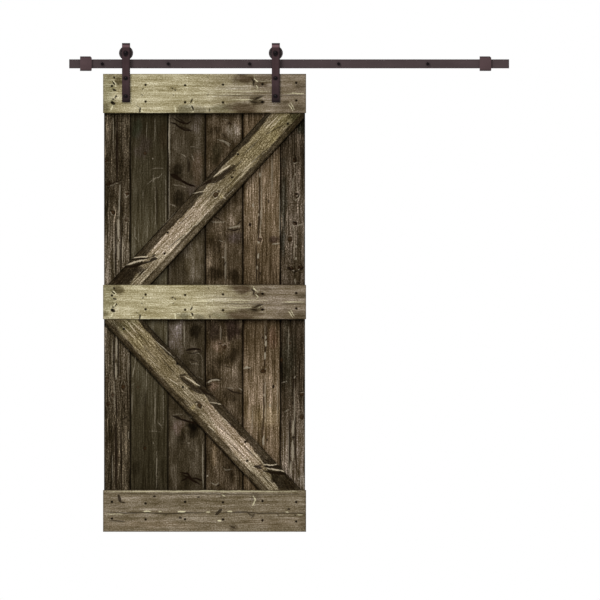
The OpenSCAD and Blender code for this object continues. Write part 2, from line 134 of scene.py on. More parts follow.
class Value:
    """One output of a node, which can be used in sums."""

    def __init__(self, finish, socket):
        self.finish, self.socket = finish, socket

    def __add__(self, other):
        return self.finish.sum("ADD", self, other)

    __radd__ = __add__

    def __sub__(self, other):
        return self.finish.sum("SUBTRACT", self, other)

    def __rsub__(self, other):
        return self.finish.sum("SUBTRACT", other, self)

    def __mul__(self, other):
        return self.finish.sum("MULTIPLY", self, other)

    __rmul__ = __mul__

    def __rpow__(self, other):
        return self.finish.sum("POWER", other, self)

    def __abs__(self):
        return self.finish.sum("ABSOLUTE", self)

    def held(self):
        """The value kept between 0 and 1."""
        return self.finish.sum("MULTIPLY", self, 1.0, clamp=True)


class Finish:
    """A material that is written node by node."""

    def __init__(self, name):
        self.material = bpy.data.materials.new(name)
        self.material.use_nodes = True
        self.tree = self.material.node_tree
        self.tree.nodes.clear()

    def add(self, kind, settings=None, inputs=None, output=0):
        """Adds a node: its settings first, then the values or links of its sockets. Gives one output."""
        node = self.tree.nodes.new(kind)
        for name, value in (settings or {}).items():
            setattr(node, name, value)
        for name, value in (inputs or {}).items():
            if isinstance(value, Value):
                self.tree.links.new(value.socket, node.inputs[name])
            else:
                node.inputs[name].default_value = value
        return Value(self, node.outputs[output]) if node.outputs else node

    def sum(self, operation, *values, clamp=False):
        settings = {"operation": operation, "use_clamp": clamp}
        return self.add("ShaderNodeMath", settings, dict(enumerate(values)))

    def painted(self, name, output="Vector"):
        """What the boards' makers painted on their meshes under that name."""
        return self.add("ShaderNodeAttribute", {"attribute_name": name}, output=output)

    def parts(self, vector):
        """The three parts of a vector or a colour."""
        return [self.add("ShaderNodeSeparateXYZ", inputs={0: vector}, output=n) for n in range(3)]

    def distance(self, across, along):
        """The length of a line that goes so far across and so far along."""
        line = self.add("ShaderNodeCombineXYZ", inputs={0: across, 1: along})
        return self.add("ShaderNodeVectorMath", {"operation": "LENGTH"}, {0: line}, output="Value")

    def stretched(self, vector, *factors):
        """A vector or a colour with each part multiplied by its own factor."""
        return self.add("ShaderNodeVectorMath", {"operation": "MULTIPLY"}, {0: vector, 1: factors})

    def noise(self, vector, scale=1.0, detail=2.0, roughness=0.55):
        """Noise about zero."""
        return self.add("ShaderNodeTexNoise", inputs={"Vector": vector, "Scale": scale, "Detail": detail,
                                                      "Roughness": roughness}) - 0.5

    def scaled(self, shade, amount):
        """A colour made lighter or darker by an amount."""
        return self.add("ShaderNodeVectorMath", {"operation": "SCALE"}, {0: shade, "Scale": amount})

    def mixed(self, one, other, share):
        """Colour one turning to the other by share."""
        pair = [c if isinstance(c, Value) else (*c, 1) for c in (one, other)]
        return self.add("ShaderNodeMix", {"data_type": "RGBA"}, {0: share, 6: pair[0], 7: pair[1]}, output=2)

    def bump(self, height, depth):
        """A normal from a height in units of depth, which is in metres."""
        return self.add("ShaderNodeBump", inputs={"Height": height, "Distance": depth, "Strength": 1.0})

    def shaded(self, base, roughness, normal, **fixed):
        """Ends the material: what varies over the surface, and by name what is the same all over it."""
        inputs = {"Base Color": base if isinstance(base, Value) else (*base, 1), "Roughness": roughness}
        if normal is not None:
            inputs["Normal"] = normal
        inputs.update({name.replace("_", " "): value for name, value in fixed.items()})
        shader = self.add("ShaderNodeBsdfPrincipled", inputs=inputs)
        self.add("ShaderNodeOutputMaterial", inputs={"Surface": shader})
        return self.material


def wood_finish(name, colours, gleam, broad, lines, hairs, blotch, grit):
    """Weathered, stained softwood. The raised fibres have gleam's colour, and the last numbers say how
    strongly each kind of grain shows, in stops."""
    f = Finish(name)
    flow = f.painted("flow")
    wide = f.noise(f.stretched(flow, 2.5, 50.0, 7.0), detail=1.0)
    fine = f.noise(f.stretched(flow, 7.0, 190.0, 7.0), detail=2.0)
    hair = f.noise(f.stretched(flow, 30.0, 640.0, 7.0), detail=1.0)
    cloud = f.noise(f.stretched(flow, 11.0, 20.0, 7.0), detail=4.0, roughness=0.6)
    speck = f.noise(f.stretched(flow, 150.0, 210.0, 7.0), detail=2.0, roughness=0.7)
    checks = (1.0 - abs(f.noise(f.stretched(flow, 1.6, 34.0, 11.0), detail=2.0)) * 26.0).held()
    checks = checks * (cloud * 3.0 + 0.55).held()
    fibres = (1.0 - abs(f.noise(f.stretched(flow, 1.4, 42.0, 13.0), detail=2.0)) * 30.0).held()
    fibres = fibres * (0.45 - cloud * 3.0).held()
    tone = wide * broad + fine * lines + hair * hairs + cloud * blotch + speck * grit
    tone = (tone - checks * (0.35 * lines) + fibres * (0.25 * lines)) * f.painted("stain", "Alpha")
    base = f.scaled(f.painted("stain", "Color"), 2.0 ** tone)
    # the dark grain is browner and the raised grain greyer
    browner = f.stretched(base, 1.1, 1.0, 0.66)
    greyer = f.stretched(base, 0.95, 1.0, 1.16)
    base = f.mixed(browner, greyer, (tone * 0.4 + 0.55).held())
    # knots: a dark heart with rings, and a darker rim
    along, across, strength = f.parts(f.painted("knot"))
    reach = f.distance(along, across) + cloud * 0.6 + speck * 0.3
    heart = ((1.1 - reach) * 4.0).held() * strength
    rings = f.sum("SINE", reach * 15.0) * 0.7
    base = f.mixed(base, f.scaled(tuple(colours.knot), 2.0 ** (rings + fine * 2.0)), heart * 0.8)
    rim = (1.0 - abs(reach - 0.95) * 4.5).held() * strength
    base = f.mixed(base, tuple(colours.crack), rim * 0.95)
    # cracks and bright raised fibres
    dark_gap, dark_share, light_gap = f.parts(f.painted("marks"))
    light_share = f.painted("marks", "Alpha")
    ragged = speck * 5.0 + fine * 5.0
    dark = ((1.3 - dark_gap + ragged) * 0.6).held() * dark_share
    light = ((0.6 - light_gap + ragged) * 0.6).held() * light_share
    base = f.mixed(base, f.scaled(gleam, 2.0 ** (fine * 1.6)), light)
    base = f.mixed(base, tuple(colours.crack), dark)
    rough = (0.8 + fine * 0.25 + light * 0.05).held()
    height = wide * 1.2 + fine * 1.6 + hair * 0.6 + speck * 0.3 - dark * 1.0 + light * 0.5 - rim * 0.5
    height = height - checks * 0.5 + fibres * 0.3
    return f.shaded(base, rough, f.bump(height, 0.0009), Specular_IOR_Level=0.03)


def end_grain(name, shade):
    """Sawn end of a board: close rings, darker than its face."""
    f = Finish(name)
    place = f.add("ShaderNodeTexCoord", output="Object")
    warp = f.noise(f.stretched(place, 14.0, 40.0, 14.0), detail=2.0)
    rings = f.add("ShaderNodeTexWave", {"bands_direction": "Y"},
                  {"Vector": place, "Scale": 190.0, "Distortion": 7.0, "Detail": 2.0, "Detail Scale": 1.4},
                  output=1)
    dust = f.noise(place, scale=900.0)
    base = f.scaled(shade, 2.0 ** (rings * 1.3 + warp * 2.0 + dust * 1.4 - 1.1))
    return f.shaded(base, (0.86 + dust * 0.2).held(), f.bump(rings + dust, 0.0004), Specular_IOR_Level=0.14)


def coated_steel(name, shade, rough=0.5, rub=0.0, rims=(), spots=(), gleam=0.2):
    """Powder-coated steel: a fine orange-peel skin with faint handling marks.

    A rim is a band along an edge where the coating is made darker or lighter, mostly painted shade and one
    painted highlight: its axis, its place along it, its reach and how many stops it changes. A spot is
    painted shade round a bolt head: its x, z and reach. Lengths are in metres."""
    f = Finish(name)
    place = f.add("ShaderNodeTexCoord", output="Object")
    peel = f.noise(place, scale=700.0, detail=1.0)
    speckle = f.noise(place, scale=2600.0, detail=1.0)
    smear = f.noise(f.stretched(place, 9.0, 40.0, 22.0), detail=3.0)
    tone = smear * 0.9 + speckle * 0.5 + peel * 0.25
    x, y, z = f.parts(place)
    # rims: bands of painted shade and painted highlight along the edges
    for axis, middle, reach, stops in rims:
        tone = tone + (1.15 - abs((x, y, z)[axis] - middle) * (1 / reach) + smear * 0.4).held() * stops
    # spots: painted shade round each bolt head
    for spot_x, spot_z, reach in spots:
        from_spot = f.distance(x - spot_x, z - spot_z)
        tone = tone - ((1.4 - from_spot * (1 / reach)) * 1.6 + smear * 0.4).held() * 1.5
    base = f.scaled(shade, 2.0 ** tone)
    base = f.mixed(base, paint(118, 98, 98), ((smear + speckle * 0.6 - 0.12) * 2.0).held() * rub)
    rough = (rough + smear * 0.25 + speckle * 0.1).held()
    return f.shaded(base, rough, f.bump(peel + speckle * 0.2, 0.00007), Specular_IOR_Level=gleam)


def plated(name, shade, rough, grain=1500.0):
    """Bare or plated metal with fine tool marks."""
    f = Finish(name)
    place = f.add("ShaderNodeTexCoord", output="Object")
    tool = f.noise(f.stretched(place, 1.0, 3.0, 1.0), scale=grain, detail=2.0)
    dull = f.noise(place, scale=160.0, detail=3.0)
    base = f.scaled(shade, 2.0 ** (dull * 0.9 + tool * 0.3))
    rough = (rough + dull * 0.3 + tool * 0.15).held()
    return f.shaded(base, rough, f.bump(tool, 0.00004), Metallic=1.0)


def moulded_nylon(name, shade):
    """Moulded wheel plastic with a fine skin and a little dust."""
    f = Finish(name)
    place = f.add("ShaderNodeTexCoord", output="Object")
    dust = f.noise(place, scale=120.0, detail=4.0)
    skin = f.noise(place, scale=1800.0, detail=1.0)
    base = f.scaled(shade, 2.0 ** (dust * 1.0 + skin * 0.3))
    rough = (0.42 + dust * 0.3).held()
    return f.shaded(base, rough, f.bump(skin + dust * 0.6, 0.00008), Specular_IOR_Level=0.4)


# ---- Boards ----

# in mm: where no stroke is near, and how far beyond a stroke it is still looked for
NO_STROKE, STROKE_REACH = 30.0, 20.0
# in a knot's own radii: where no knot is near
NO_KNOT = 3.2
# the strength from which a bright fibre bridges a crack
BRIDGING_FIBRE = 0.7
# how deep the face is sunk at a screw, and how deep and how far a board's ends are worn, in mm
DIMPLE_DEPTH, END_WEAR, END_WEAR_REACH = 2.15, 1.2, 2.5
# mesh lines beside a screw and at a board's end, and the coarse steps where a board is hidden, in mm
WEAR_LINES = (-5.8, -4.7, -2.4, 0.0, 2.4, 4.7, 5.8)
END_LINES = (0.7, 1.5, 2.6)
HIDDEN_STEP, BACK_STEP, LEAST_STEP = 26, 15, 0.65
# how much red, green and blue change with each stop that a stain darkens or lightens
STAIN_TURN, EDGE_TURN = (0.94, 1.0, 1.16), (0.92, 1.0, 1.16)


def noise(u, v, seed):
    """Smooth noise between -1 and 1, the same on every run."""
    iu, iv = np.floor(u).astype(np.int64), np.floor(v).astype(np.int64)
    fu, fv = u - iu, v - iv
    fu, fv = fu * fu * (3 - 2 * fu), fv * fv * (3 - 2 * fv)

    def corner(a, b):
        h = (a * 73856093 ^ b * 19349663 ^ seed * 83492791) & 0x7FFFFFFF
        h = (h ^ (h >> 13)) * 1274126177 & 0x7FFFFFFF
        return ((h ^ (h >> 15)) % 20011) / 10005 - 1

    near = corner(iu, iv) * (1 - fu) + corner(iu + 1, iv) * fu
    far = corner(iu, iv + 1) * (1 - fu) + corner(iu + 1, iv + 1) * fu
    return near * (1 - fv) + far * fv


def eased(x):
    """0 below 0, 1 above 1, and smooth between."""
    x = np.clip(x, 0, 1)
    return x * x * (3 - 2 * x)


def crack(width, strength, *points):
    """An open crack or a dark line, in mm, through points along and across the board."""
    return "crack", width, strength, points


def gleam(width, strength, *points):
    """A raised fibre or worn edge that catches the light."""
    return "gleam", width, strength, points


def patch(u, v, along, across, stops):
    """A cloud in the stain, lighter or darker by that many stops."""
    return "patch", u, v, along, across, stops


def fade(*points):
    """The stain growing lighter and darker along the board: places in mm, each with its stops."""
    return "fade", points


def wash(u, v, along, across, share, shade):
    """A cloud of another stain."""
    return "wash", u, v, along, across, share, shade


def knot(u, v, along, across, strength=1.0):
    """A knot with its half length and half width in mm."""
    return "knot", u, v, along, across, strength


def stroke_gap(u, v, width, points):
    """How far each place is from a stroke's edge, in mm: negative inside it, and it tapers at its ends."""
    gap = np.full(u.shape, NO_STROKE)
    p = np.asarray(points, float)
    steps = np.hypot(*(p[1:] - p[:-1]).T)
    total, run = steps.sum(), 0.0
    (u0, v0), (u1, v1) = p.min(0) - STROKE_REACH, p.max(0) + STROKE_REACH
    near = (u > u0) & (u < u1) & (v > v0) & (v < v1)
    pu, pv = u[near], v[near]
    found = np.full(pu.shape, NO_STROKE)
    for a, b, step in zip(p[:-1], p[1:], steps):
        d = b - a
        t = np.clip(((pu - a[0]) * d[0] + (pv - a[1]) * d[1]) / step ** 2, 0, 1)
        away = np.hypot(pu - a[0] - t * d[0], pv - a[1] - t * d[1])
        share = (run + t * step) / total
        found = np.minimum(found, away - width / 2 * (1 - 0.75 * np.abs(2 * share - 1) ** 3))
        run += step
    gap[near] = found
    return gap


class Board:
    """A board in the door's plane. In mm, u runs along its grain, v across it and w into it from its face."""

    def __init__(self, name, corner, along, across, width, face_y, thick, ends, seed, stain, marks):
        self.name, self.width, self.thick, self.ends, self.seed = name, width, thick, ends, seed
        self.corner, self.along, self.across = map(np.array, (corner, along, across))
        self.face_y, self.stain, self.marks = face_y, stain, marks
        self.screws, self.bands, self.left_edge, self.right_edge = [], None, (1.8, 1.8), (1.8, 1.8)
        self.groove = self.tongue = None
        self.grime, self.joints, self.contrast, self.slot = [], [], 1.0, None
        self.end_stain, self.turn = stain, (0, 1)

    def local(self, x, z):
        """Where a place in the door's plane is on the board."""
        away = np.array([x, z]) - self.corner
        return away @ self.along, away @ self.across

    def field(self, kind):
        """The board's marks of one kind."""
        return [m[1:] for m in self.marks if m[0] == kind]

    def knot_fields(self, u, v):
        """The grain's way round the knots, and each place's position in its nearest knot."""
        pull = np.zeros(u.shape)
        nearest = np.full(u.shape, NO_KNOT)
        spot = np.zeros((3,) + u.shape)
        spot[0] = NO_KNOT
        for ku, kv, along, across, strength in self.field("knot"):
            du, dv = (u - ku) / along, (v - kv) / across
            r = np.hypot(du, dv)
            pull -= (v - kv) / np.maximum((du / 1.6) ** 2 + dv ** 2, 1.0) * np.exp(-(r / 5) ** 2) * 0.9
            near = r < nearest
            nearest = np.where(near, r, nearest)
            for n, value in enumerate((du, dv, np.full(u.shape, strength))):
                spot[n] = np.where(near, value, spot[n])
        return pull, spot, nearest

    def stroke_fields(self, u, v):
        """The nearest crack's and gleam's gap and strength."""
        out = []
        for kind in ("crack", "gleam"):
            gap, strength = np.full(u.shape, NO_STROKE), np.zeros(u.shape)
            for width, share, points in self.field(kind):
                found = stroke_gap(u, v, width, points)
                near = found < gap
                gap, strength = np.where(near, found, gap), np.where(near, share, strength)
            out += [gap, strength]
        # a bright raised fibre bridges the crack that it lies across
        out[0] = np.where(out[3] >= BRIDGING_FIBRE, np.maximum(out[0], 1.5 - out[2]), out[0])
        return out

    def band_depth(self, u, v):
        """How far the brace's falling edges lie below its face, and where their dark stain is."""
        depth, dark, stops = np.zeros(u.shape), np.zeros(u.shape), np.zeros(u.shape)
        for from_edge, width, drop, change in self.bands(u, v):
            ragged = width + 3.0 * noise(u / 23, v / 400, self.seed + 5)
            ragged = ragged + 1.5 * noise(u / 7, v / 300, self.seed + 6)
            inside = (ragged - from_edge) / np.maximum(width, 1)
            depth = np.maximum(depth, np.where(inside > 0, 0.8 * eased((ragged - from_edge) / 3)
                                               + (drop - 0.8) * np.clip(inside, 0, 1) ** 1.3, 0))
            dark = np.maximum(dark, eased((ragged - from_edge) / 4 + 0.5))
            stops += change * eased((ragged - from_edge) / 4 + 0.5)
        return depth, dark, stops

    def stain_fields(self, u, v, front, dark_band, band_stops, colours):
        """Base colour of each place: stain, clouds, washes, the falling edges, and painted shade along the
        rails and braces and round the sunk screws.
        """
        start, end = self.turn
        turned = eased((u - start) / (end - start) + 0.06 * noise(u / 60, v / 20, self.seed + 14))[..., None]
        base = np.array(self.stain) * (1 - turned) + np.array(self.end_stain) * turned
        wobble = 0.35 * noise(u / 45, v / 22, self.seed + 11) + 0.2 * noise(u / 14, v / 9, self.seed + 12)

        def cover(cu, cv, along, across):
            return eased(1.45 - 1.1 * (np.hypot((u - cu) / along, (v - cv) / across) + wobble))

        for cu, cv, along, across, share, shade in self.field("wash"):
            amount = (share * cover(cu, cv, along, across))[..., None]
            base = base * (1 - amount) + np.array(paint(*shade)) * amount
        stops = np.zeros(u.shape)
        for points, in self.field("fade"):
            stops += np.interp(u, *np.array(points, float).T)
        for cu, cv, along, across, lift in self.field("patch"):
            stops += lift * cover(cu, cv, along, across)
        if self.bands:
            amount = (0.93 * dark_band)[..., None]
            lift = 0.8 * noise(u / 10, v / 7, self.seed + 13) + band_stops
            mottle = 2.0 ** (lift[..., None] * np.array(EDGE_TURN))
            base = base * (1 - amount) + np.array(colours.wane) * mottle * amount
        for edge, depth in self.joints:
            stops -= depth * np.exp(-np.abs(v - edge) / 2.8)
        # painted shade and shadow along and under the rails and braces
        for place_gap, reach, depth in self.grime:
            stops -= front * depth * np.exp(-np.maximum(place_gap(u, v), 0) / reach)
        # painted shade in the dimple round each sunk screw head
        for su, sv in self.screws:
            stops -= 2.6 * eased((7.0 - np.hypot(u - su, v - sv)) / 3.0)
        # thick stain and painted shade turn browner, and worn stain greyer
        return base * 2.0 ** (stops[..., None] * np.array(STAIN_TURN))

    def relief(self, u, v, pull, nearest, knot_share, strokes, sizes):
        """Depth of the carved face, in mm: grain, a slow warp, knots with a sunk rim, cracks and fibres."""
        crack_gap, crack_share, gleam_gap, gleam_share = strokes
        flow = v + pull
        grain = 0.5 + 0.28 * noise(u / 160, flow / 6.5, self.seed)
        grain = grain + 0.22 * noise(u / 60, flow / 3.3, self.seed + 1)
        depth = sizes.grain_depth / MM * grain
        depth += 0.25 * (1 + noise(u / 330, v / 60, self.seed + 2))
        inside = np.clip(nearest, 0, 3)
        depth += knot_share * (1.3 * np.exp(-((inside - 1) / 0.22) ** 2) - 0.4 * np.exp(-(inside / 0.7) ** 2))
        depth += sizes.crack_depth / MM * crack_share * eased(0.5 - crack_gap / 3.0) * 0.8
        depth = depth * (1 - 0.8 * gleam_share * eased(0.5 - gleam_gap / 4))
        return np.maximum(depth, 0)

    def dimples(self, u, v, depth, radius):
        """Sinks the face round each screw head."""
        for su, sv in self.screws:
            away = np.hypot(u - su, v - sv)
            depth = np.maximum(depth, DIMPLE_DEPTH * eased((radius + 1.1 - away) / 1.2))
        return depth


def spread(low, high, step, spots=(), offsets=(), rough=()):
    """Mesh lines from low to high, closer at the given spots, and far apart where the board is hidden."""
    lines = list(np.linspace(low, high, max(2, round((high - low) / step) + 1)))
    lines = [x for x in lines if not any(a < x < b for a, b in rough)]
    for a, b in rough:
        lines += list(np.linspace(a, b, max(2, round((b - a) / HIDDEN_STEP) + 1)))
    lines += [s + o for s in spots for o in offsets]
    kept = [low]
    for x in sorted(lines):
        if x - kept[-1] > LEAST_STEP and high - x > LEAST_STEP:
            kept.append(x)
    return np.array(kept + [high])


def outline(board, lines):
    """Points round the board's section: v, w, how far wear moves each in v and in w, and its share of the
    face's relief."""
    rows = [(0, board.thick, 0, 0, 0)]
    if board.groove:
        deep, low, high = board.groove
        rows += [(v, w, 0, 0, 0) for v, w in ((0, high), (deep, high), (deep, low), (0, low))]
    turns = [n * math.pi / 8 for n in range(5)]
    a, b = board.left_edge
    rows += [(0, 0, a * (1 - math.cos(t)), b * (1 - math.sin(t)), math.sin(t) ** 2) for t in turns]
    rows += [(v, 0, 0, 0, 1) for v in lines]
    a, b = board.right_edge
    rows += [(board.width, 0, -a * (1 - math.cos(t)), b * (1 - math.sin(t)), math.sin(t) ** 2)
             for t in turns[::-1]]
    if board.tongue:
        deep, low, high = board.tongue
        rows += [(board.width + v, w, 0, 0, 0) for v, w in ((0, low), (deep, low), (deep, high), (0, high))]
    back = np.linspace(board.width, 0, max(3, round(board.width / BACK_STEP)))
    rows += [(v, board.thick, 0, 0, 0) for v in back[:-1]]
    return np.array(rows, float).T


def board_mesh(board, t_lines, v_lines, sizes, colours):
    """The board's closed mesh, with its grain, stain, knots and marks painted on its points."""
    v0, w0, wear_v, wear_w, share = outline(board, v_lines)
    steps = np.hypot(np.diff(v0 + wear_v), np.diff(w0 + wear_w))
    way = np.concatenate([[0], np.cumsum(steps)])
    first = np.argmax(share == 1)
    way = way - way[first] + v0[first]
    front = share > 0
    t = t_lines[:, None]
    wear = 1 + 0.35 * noise(t_lines * 31, t_lines * 0, board.seed + 3)[:, None]
    v = v0 + wear_v * wear
    low, high = board.ends(v)
    u = low + t * (high - low)
    round_section = np.where(front, v, way)
    warp_u = u + 2.0 * noise(u / 19, v / 13, board.seed + 21)
    warp_v = v + 1.3 * noise(u / 17, v / 11, board.seed + 22)
    pull, spot, nearest = board.knot_fields(u, v)
    strokes = board.stroke_fields(warp_u, warp_v)
    for share_field in (strokes[1], strokes[3], spot[2]):
        share_field[:, ~front] = 0
    depth = board.relief(u, v, pull, nearest, spot[2], strokes, sizes)
    band, dark_band, band_stops = board.band_depth(u, v) if board.bands else (0 * u, 0 * u, 0 * u)
    depth = depth * (1 - 0.5 * dark_band) + band
    depth = board.dimples(u, v, depth, sizes.dimple_radius / MM)
    from_end = np.minimum(u - low, high - u)
    depth = depth + END_WEAR * (1 - eased(from_end / END_WEAR_REACH)) ** 2
    w = w0 + wear_w * wear + share * depth
    w = np.minimum(w, board.thick)
    place = board.corner + u[..., None] * board.along + v[..., None] * board.across
    points = np.stack([place[..., 0], board.face_y + w, place[..., 1]], -1).reshape(-1, 3) * MM
    mesh = sheet_mesh(board.name, points, *u.shape)
    drift = 5.0 * noise(u / 420, v / 70, board.seed + 4) + 1.5 * noise(u / 90, v / 30, board.seed + 7)
    flow = np.stack([u * MM, (round_section + pull + drift) * MM, np.full(u.shape, board.seed * 1.7)], -1)
    stain = board.stain_fields(u, v, front, dark_band * front, band_stops, colours)
    put(mesh, "flow", "FLOAT_VECTOR", "vector", flow)
    put(mesh, "knot", "FLOAT_VECTOR", "vector", np.moveaxis(spot, 0, -1))
    contrast = board.contrast * (1 - 0.1 * dark_band)
    put(mesh, "stain", "FLOAT_COLOR", "color", np.concatenate([stain, contrast[..., None]], -1))
    put(mesh, "marks", "FLOAT_COLOR", "color", np.stack(strokes, -1))
    return mesh


def put(mesh, name, kind, key, values):
    """Paints values on the mesh's points."""
    mesh.attributes.new(name, kind, "POINT").data.foreach_set(key, values.astype(np.float32).ravel())


def signed_volume(a, b, c):
    """Six times the volume between triangles and the origin, which is negative where they face inwards."""
    return np.einsum("ij,ij->i", a, np.cross(b, c)).sum()


def sheet_mesh(name, points, rows, columns):
    """Closes a grid of points that goes round in columns, with a flat cap at either end."""
    here = (np.arange(rows - 1)[:, None] * columns + np.arange(columns)).ravel()
    beside = (np.arange(rows - 1)[:, None] * columns + np.roll(np.arange(columns), -1)).ravel()
    quads = np.stack([here, beside, beside + columns, here + columns], -1)
    caps = [np.arange(columns)[::-1], (rows - 1) * columns + np.arange(columns)]
    first, second, third, fourth = (points[quads[:, n]] for n in range(4))
    volume = signed_volume(first, second, third) + signed_volume(first, third, fourth)
    for cap in caps:
        fan = points[cap]
        volume += signed_volume(np.tile(fan[0], (len(cap) - 2, 1)), fan[1:-1], fan[2:])
    if volume < 0:
        quads, caps = quads[:, ::-1], [cap[::-1] for cap in caps]
    loops = np.concatenate([quads.ravel(), *caps])
    starts = np.concatenate([np.arange(len(quads)) * 4, len(quads) * 4 + np.array([0, columns])])
    mesh = bpy.data.meshes.new(name)
    mesh.vertices.add(len(points))
    mesh.vertices.foreach_set("co", points.ravel())
    mesh.loops.add(len(loops))
    mesh.loops.foreach_set("vertex_index", loops)
    mesh.polygons.add(len(starts))
    mesh.polygons.foreach_set("loop_start", starts)
    mesh.update(calc_edges=True)
    mesh.validate()
    mesh.polygons[len(quads)].material_index = mesh.polygons[len(quads) + 1].material_index = 1
    mesh.shade_smooth()
    mesh.set_sharp_from_angle(angle=math.radians(50))
    return mesh


def add_piece(name, mesh, body, materials, nodes):
    """Puts a finished mesh into the scene in place of its CAD nodes."""
    piece = bpy.data.objects.new(name, mesh)
    bpy.context.scene.collection.objects.link(piece)
    for material in materials:
        mesh.materials.append(material)
    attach(piece, body)
    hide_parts(*nodes)


def screw_places(node):
    """Where a node's screws are, in mm in the door's plane."""
    found = []
    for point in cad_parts[node].data.vertices:
        x, z = point.co.x / MM, point.co.z / MM
        for group in found:
            if math.hypot(group[0][0] - x, group[0][1] - z) < SCREW_ACROSS:
                group.append((x, z))
                break
        else:
            found.append([(x, z)])
    return [np.array(g).min(0) / 2 + np.array(g).max(0) / 2 for g in found]


def box_mm(node):
    """A CAD node's low and high corners, in mm."""
    low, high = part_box(node)
    return [c / MM for c in low], [c / MM for c in high]


def centre_mm(node):
    """The middle of a CAD node, in mm."""
    low, high = box_mm(node)
    return [(a + b) / 2 for a, b in zip(low, high)]


def straight_ends(long):
    """The ends of a board that is cut off square: where it starts and stops along u, for any v."""
    return lambda v: (0 * v, 0 * v + long)


# sizes of the CAD parts that the finished ones replace, in mm
SCREW_ACROSS = 12
TONGUE_DEEP, TONGUE_THICK, TONGUE_PLAY = 8.0, 6.0, 0.3
BRACE_WIDTH, BRACE_FOOT_IN, BRACE_HEAD_IN = 140.0, 112.0, 78.0
LAG_HEAD_W, LAG_HEAD_H, LAG_SHANK_R = 13.0, 5.5, 4.0
LAG_THREAD_R, LAG_THREAD_L, LAG_POINT = 3.75, 37.0, 8.0
# how strongly each plank's grain shows, and how much darker each plank is beside its edges from left to
# right, in stops: the joints, and at either end the door's outer edges
PLANK_CONTRAST = (1.5, 0.7, 0.95, 1.2, 1.05, 1.35)
EDGE_DARKENING = (2.6, 3.6, 3.2, 5.0, 6.5, 6.0, 2.6)
KNOTTY_PLANKS = (3, 4)
# how far from a rail or a brace the darkest painted shadow ends, and a distance that no painted shadow
# reaches, in mm
SHADE_START, FAR_OFF = 3, 1e3
# how far a plank's mesh stays fine behind a rail's edge, and where a rail turns brown, in mm
FINE_BEHIND = 12
RAIL_TURN = (330.0, 800.0)
# the stage, in metres and degrees
FLOOR_GAP, FLOOR_HALF = 0.012, 6.0
AMBIENT, KEY_LIGHT, KEY_FROM, KEY_SPREAD = 0.55, 2.3, (-0.62, -0.6, 0.72), 24
VIEW_WIDTH, VIEW_CENTRE, VIEW_FROM = 2.728, (0.2294, -1.0737), 5

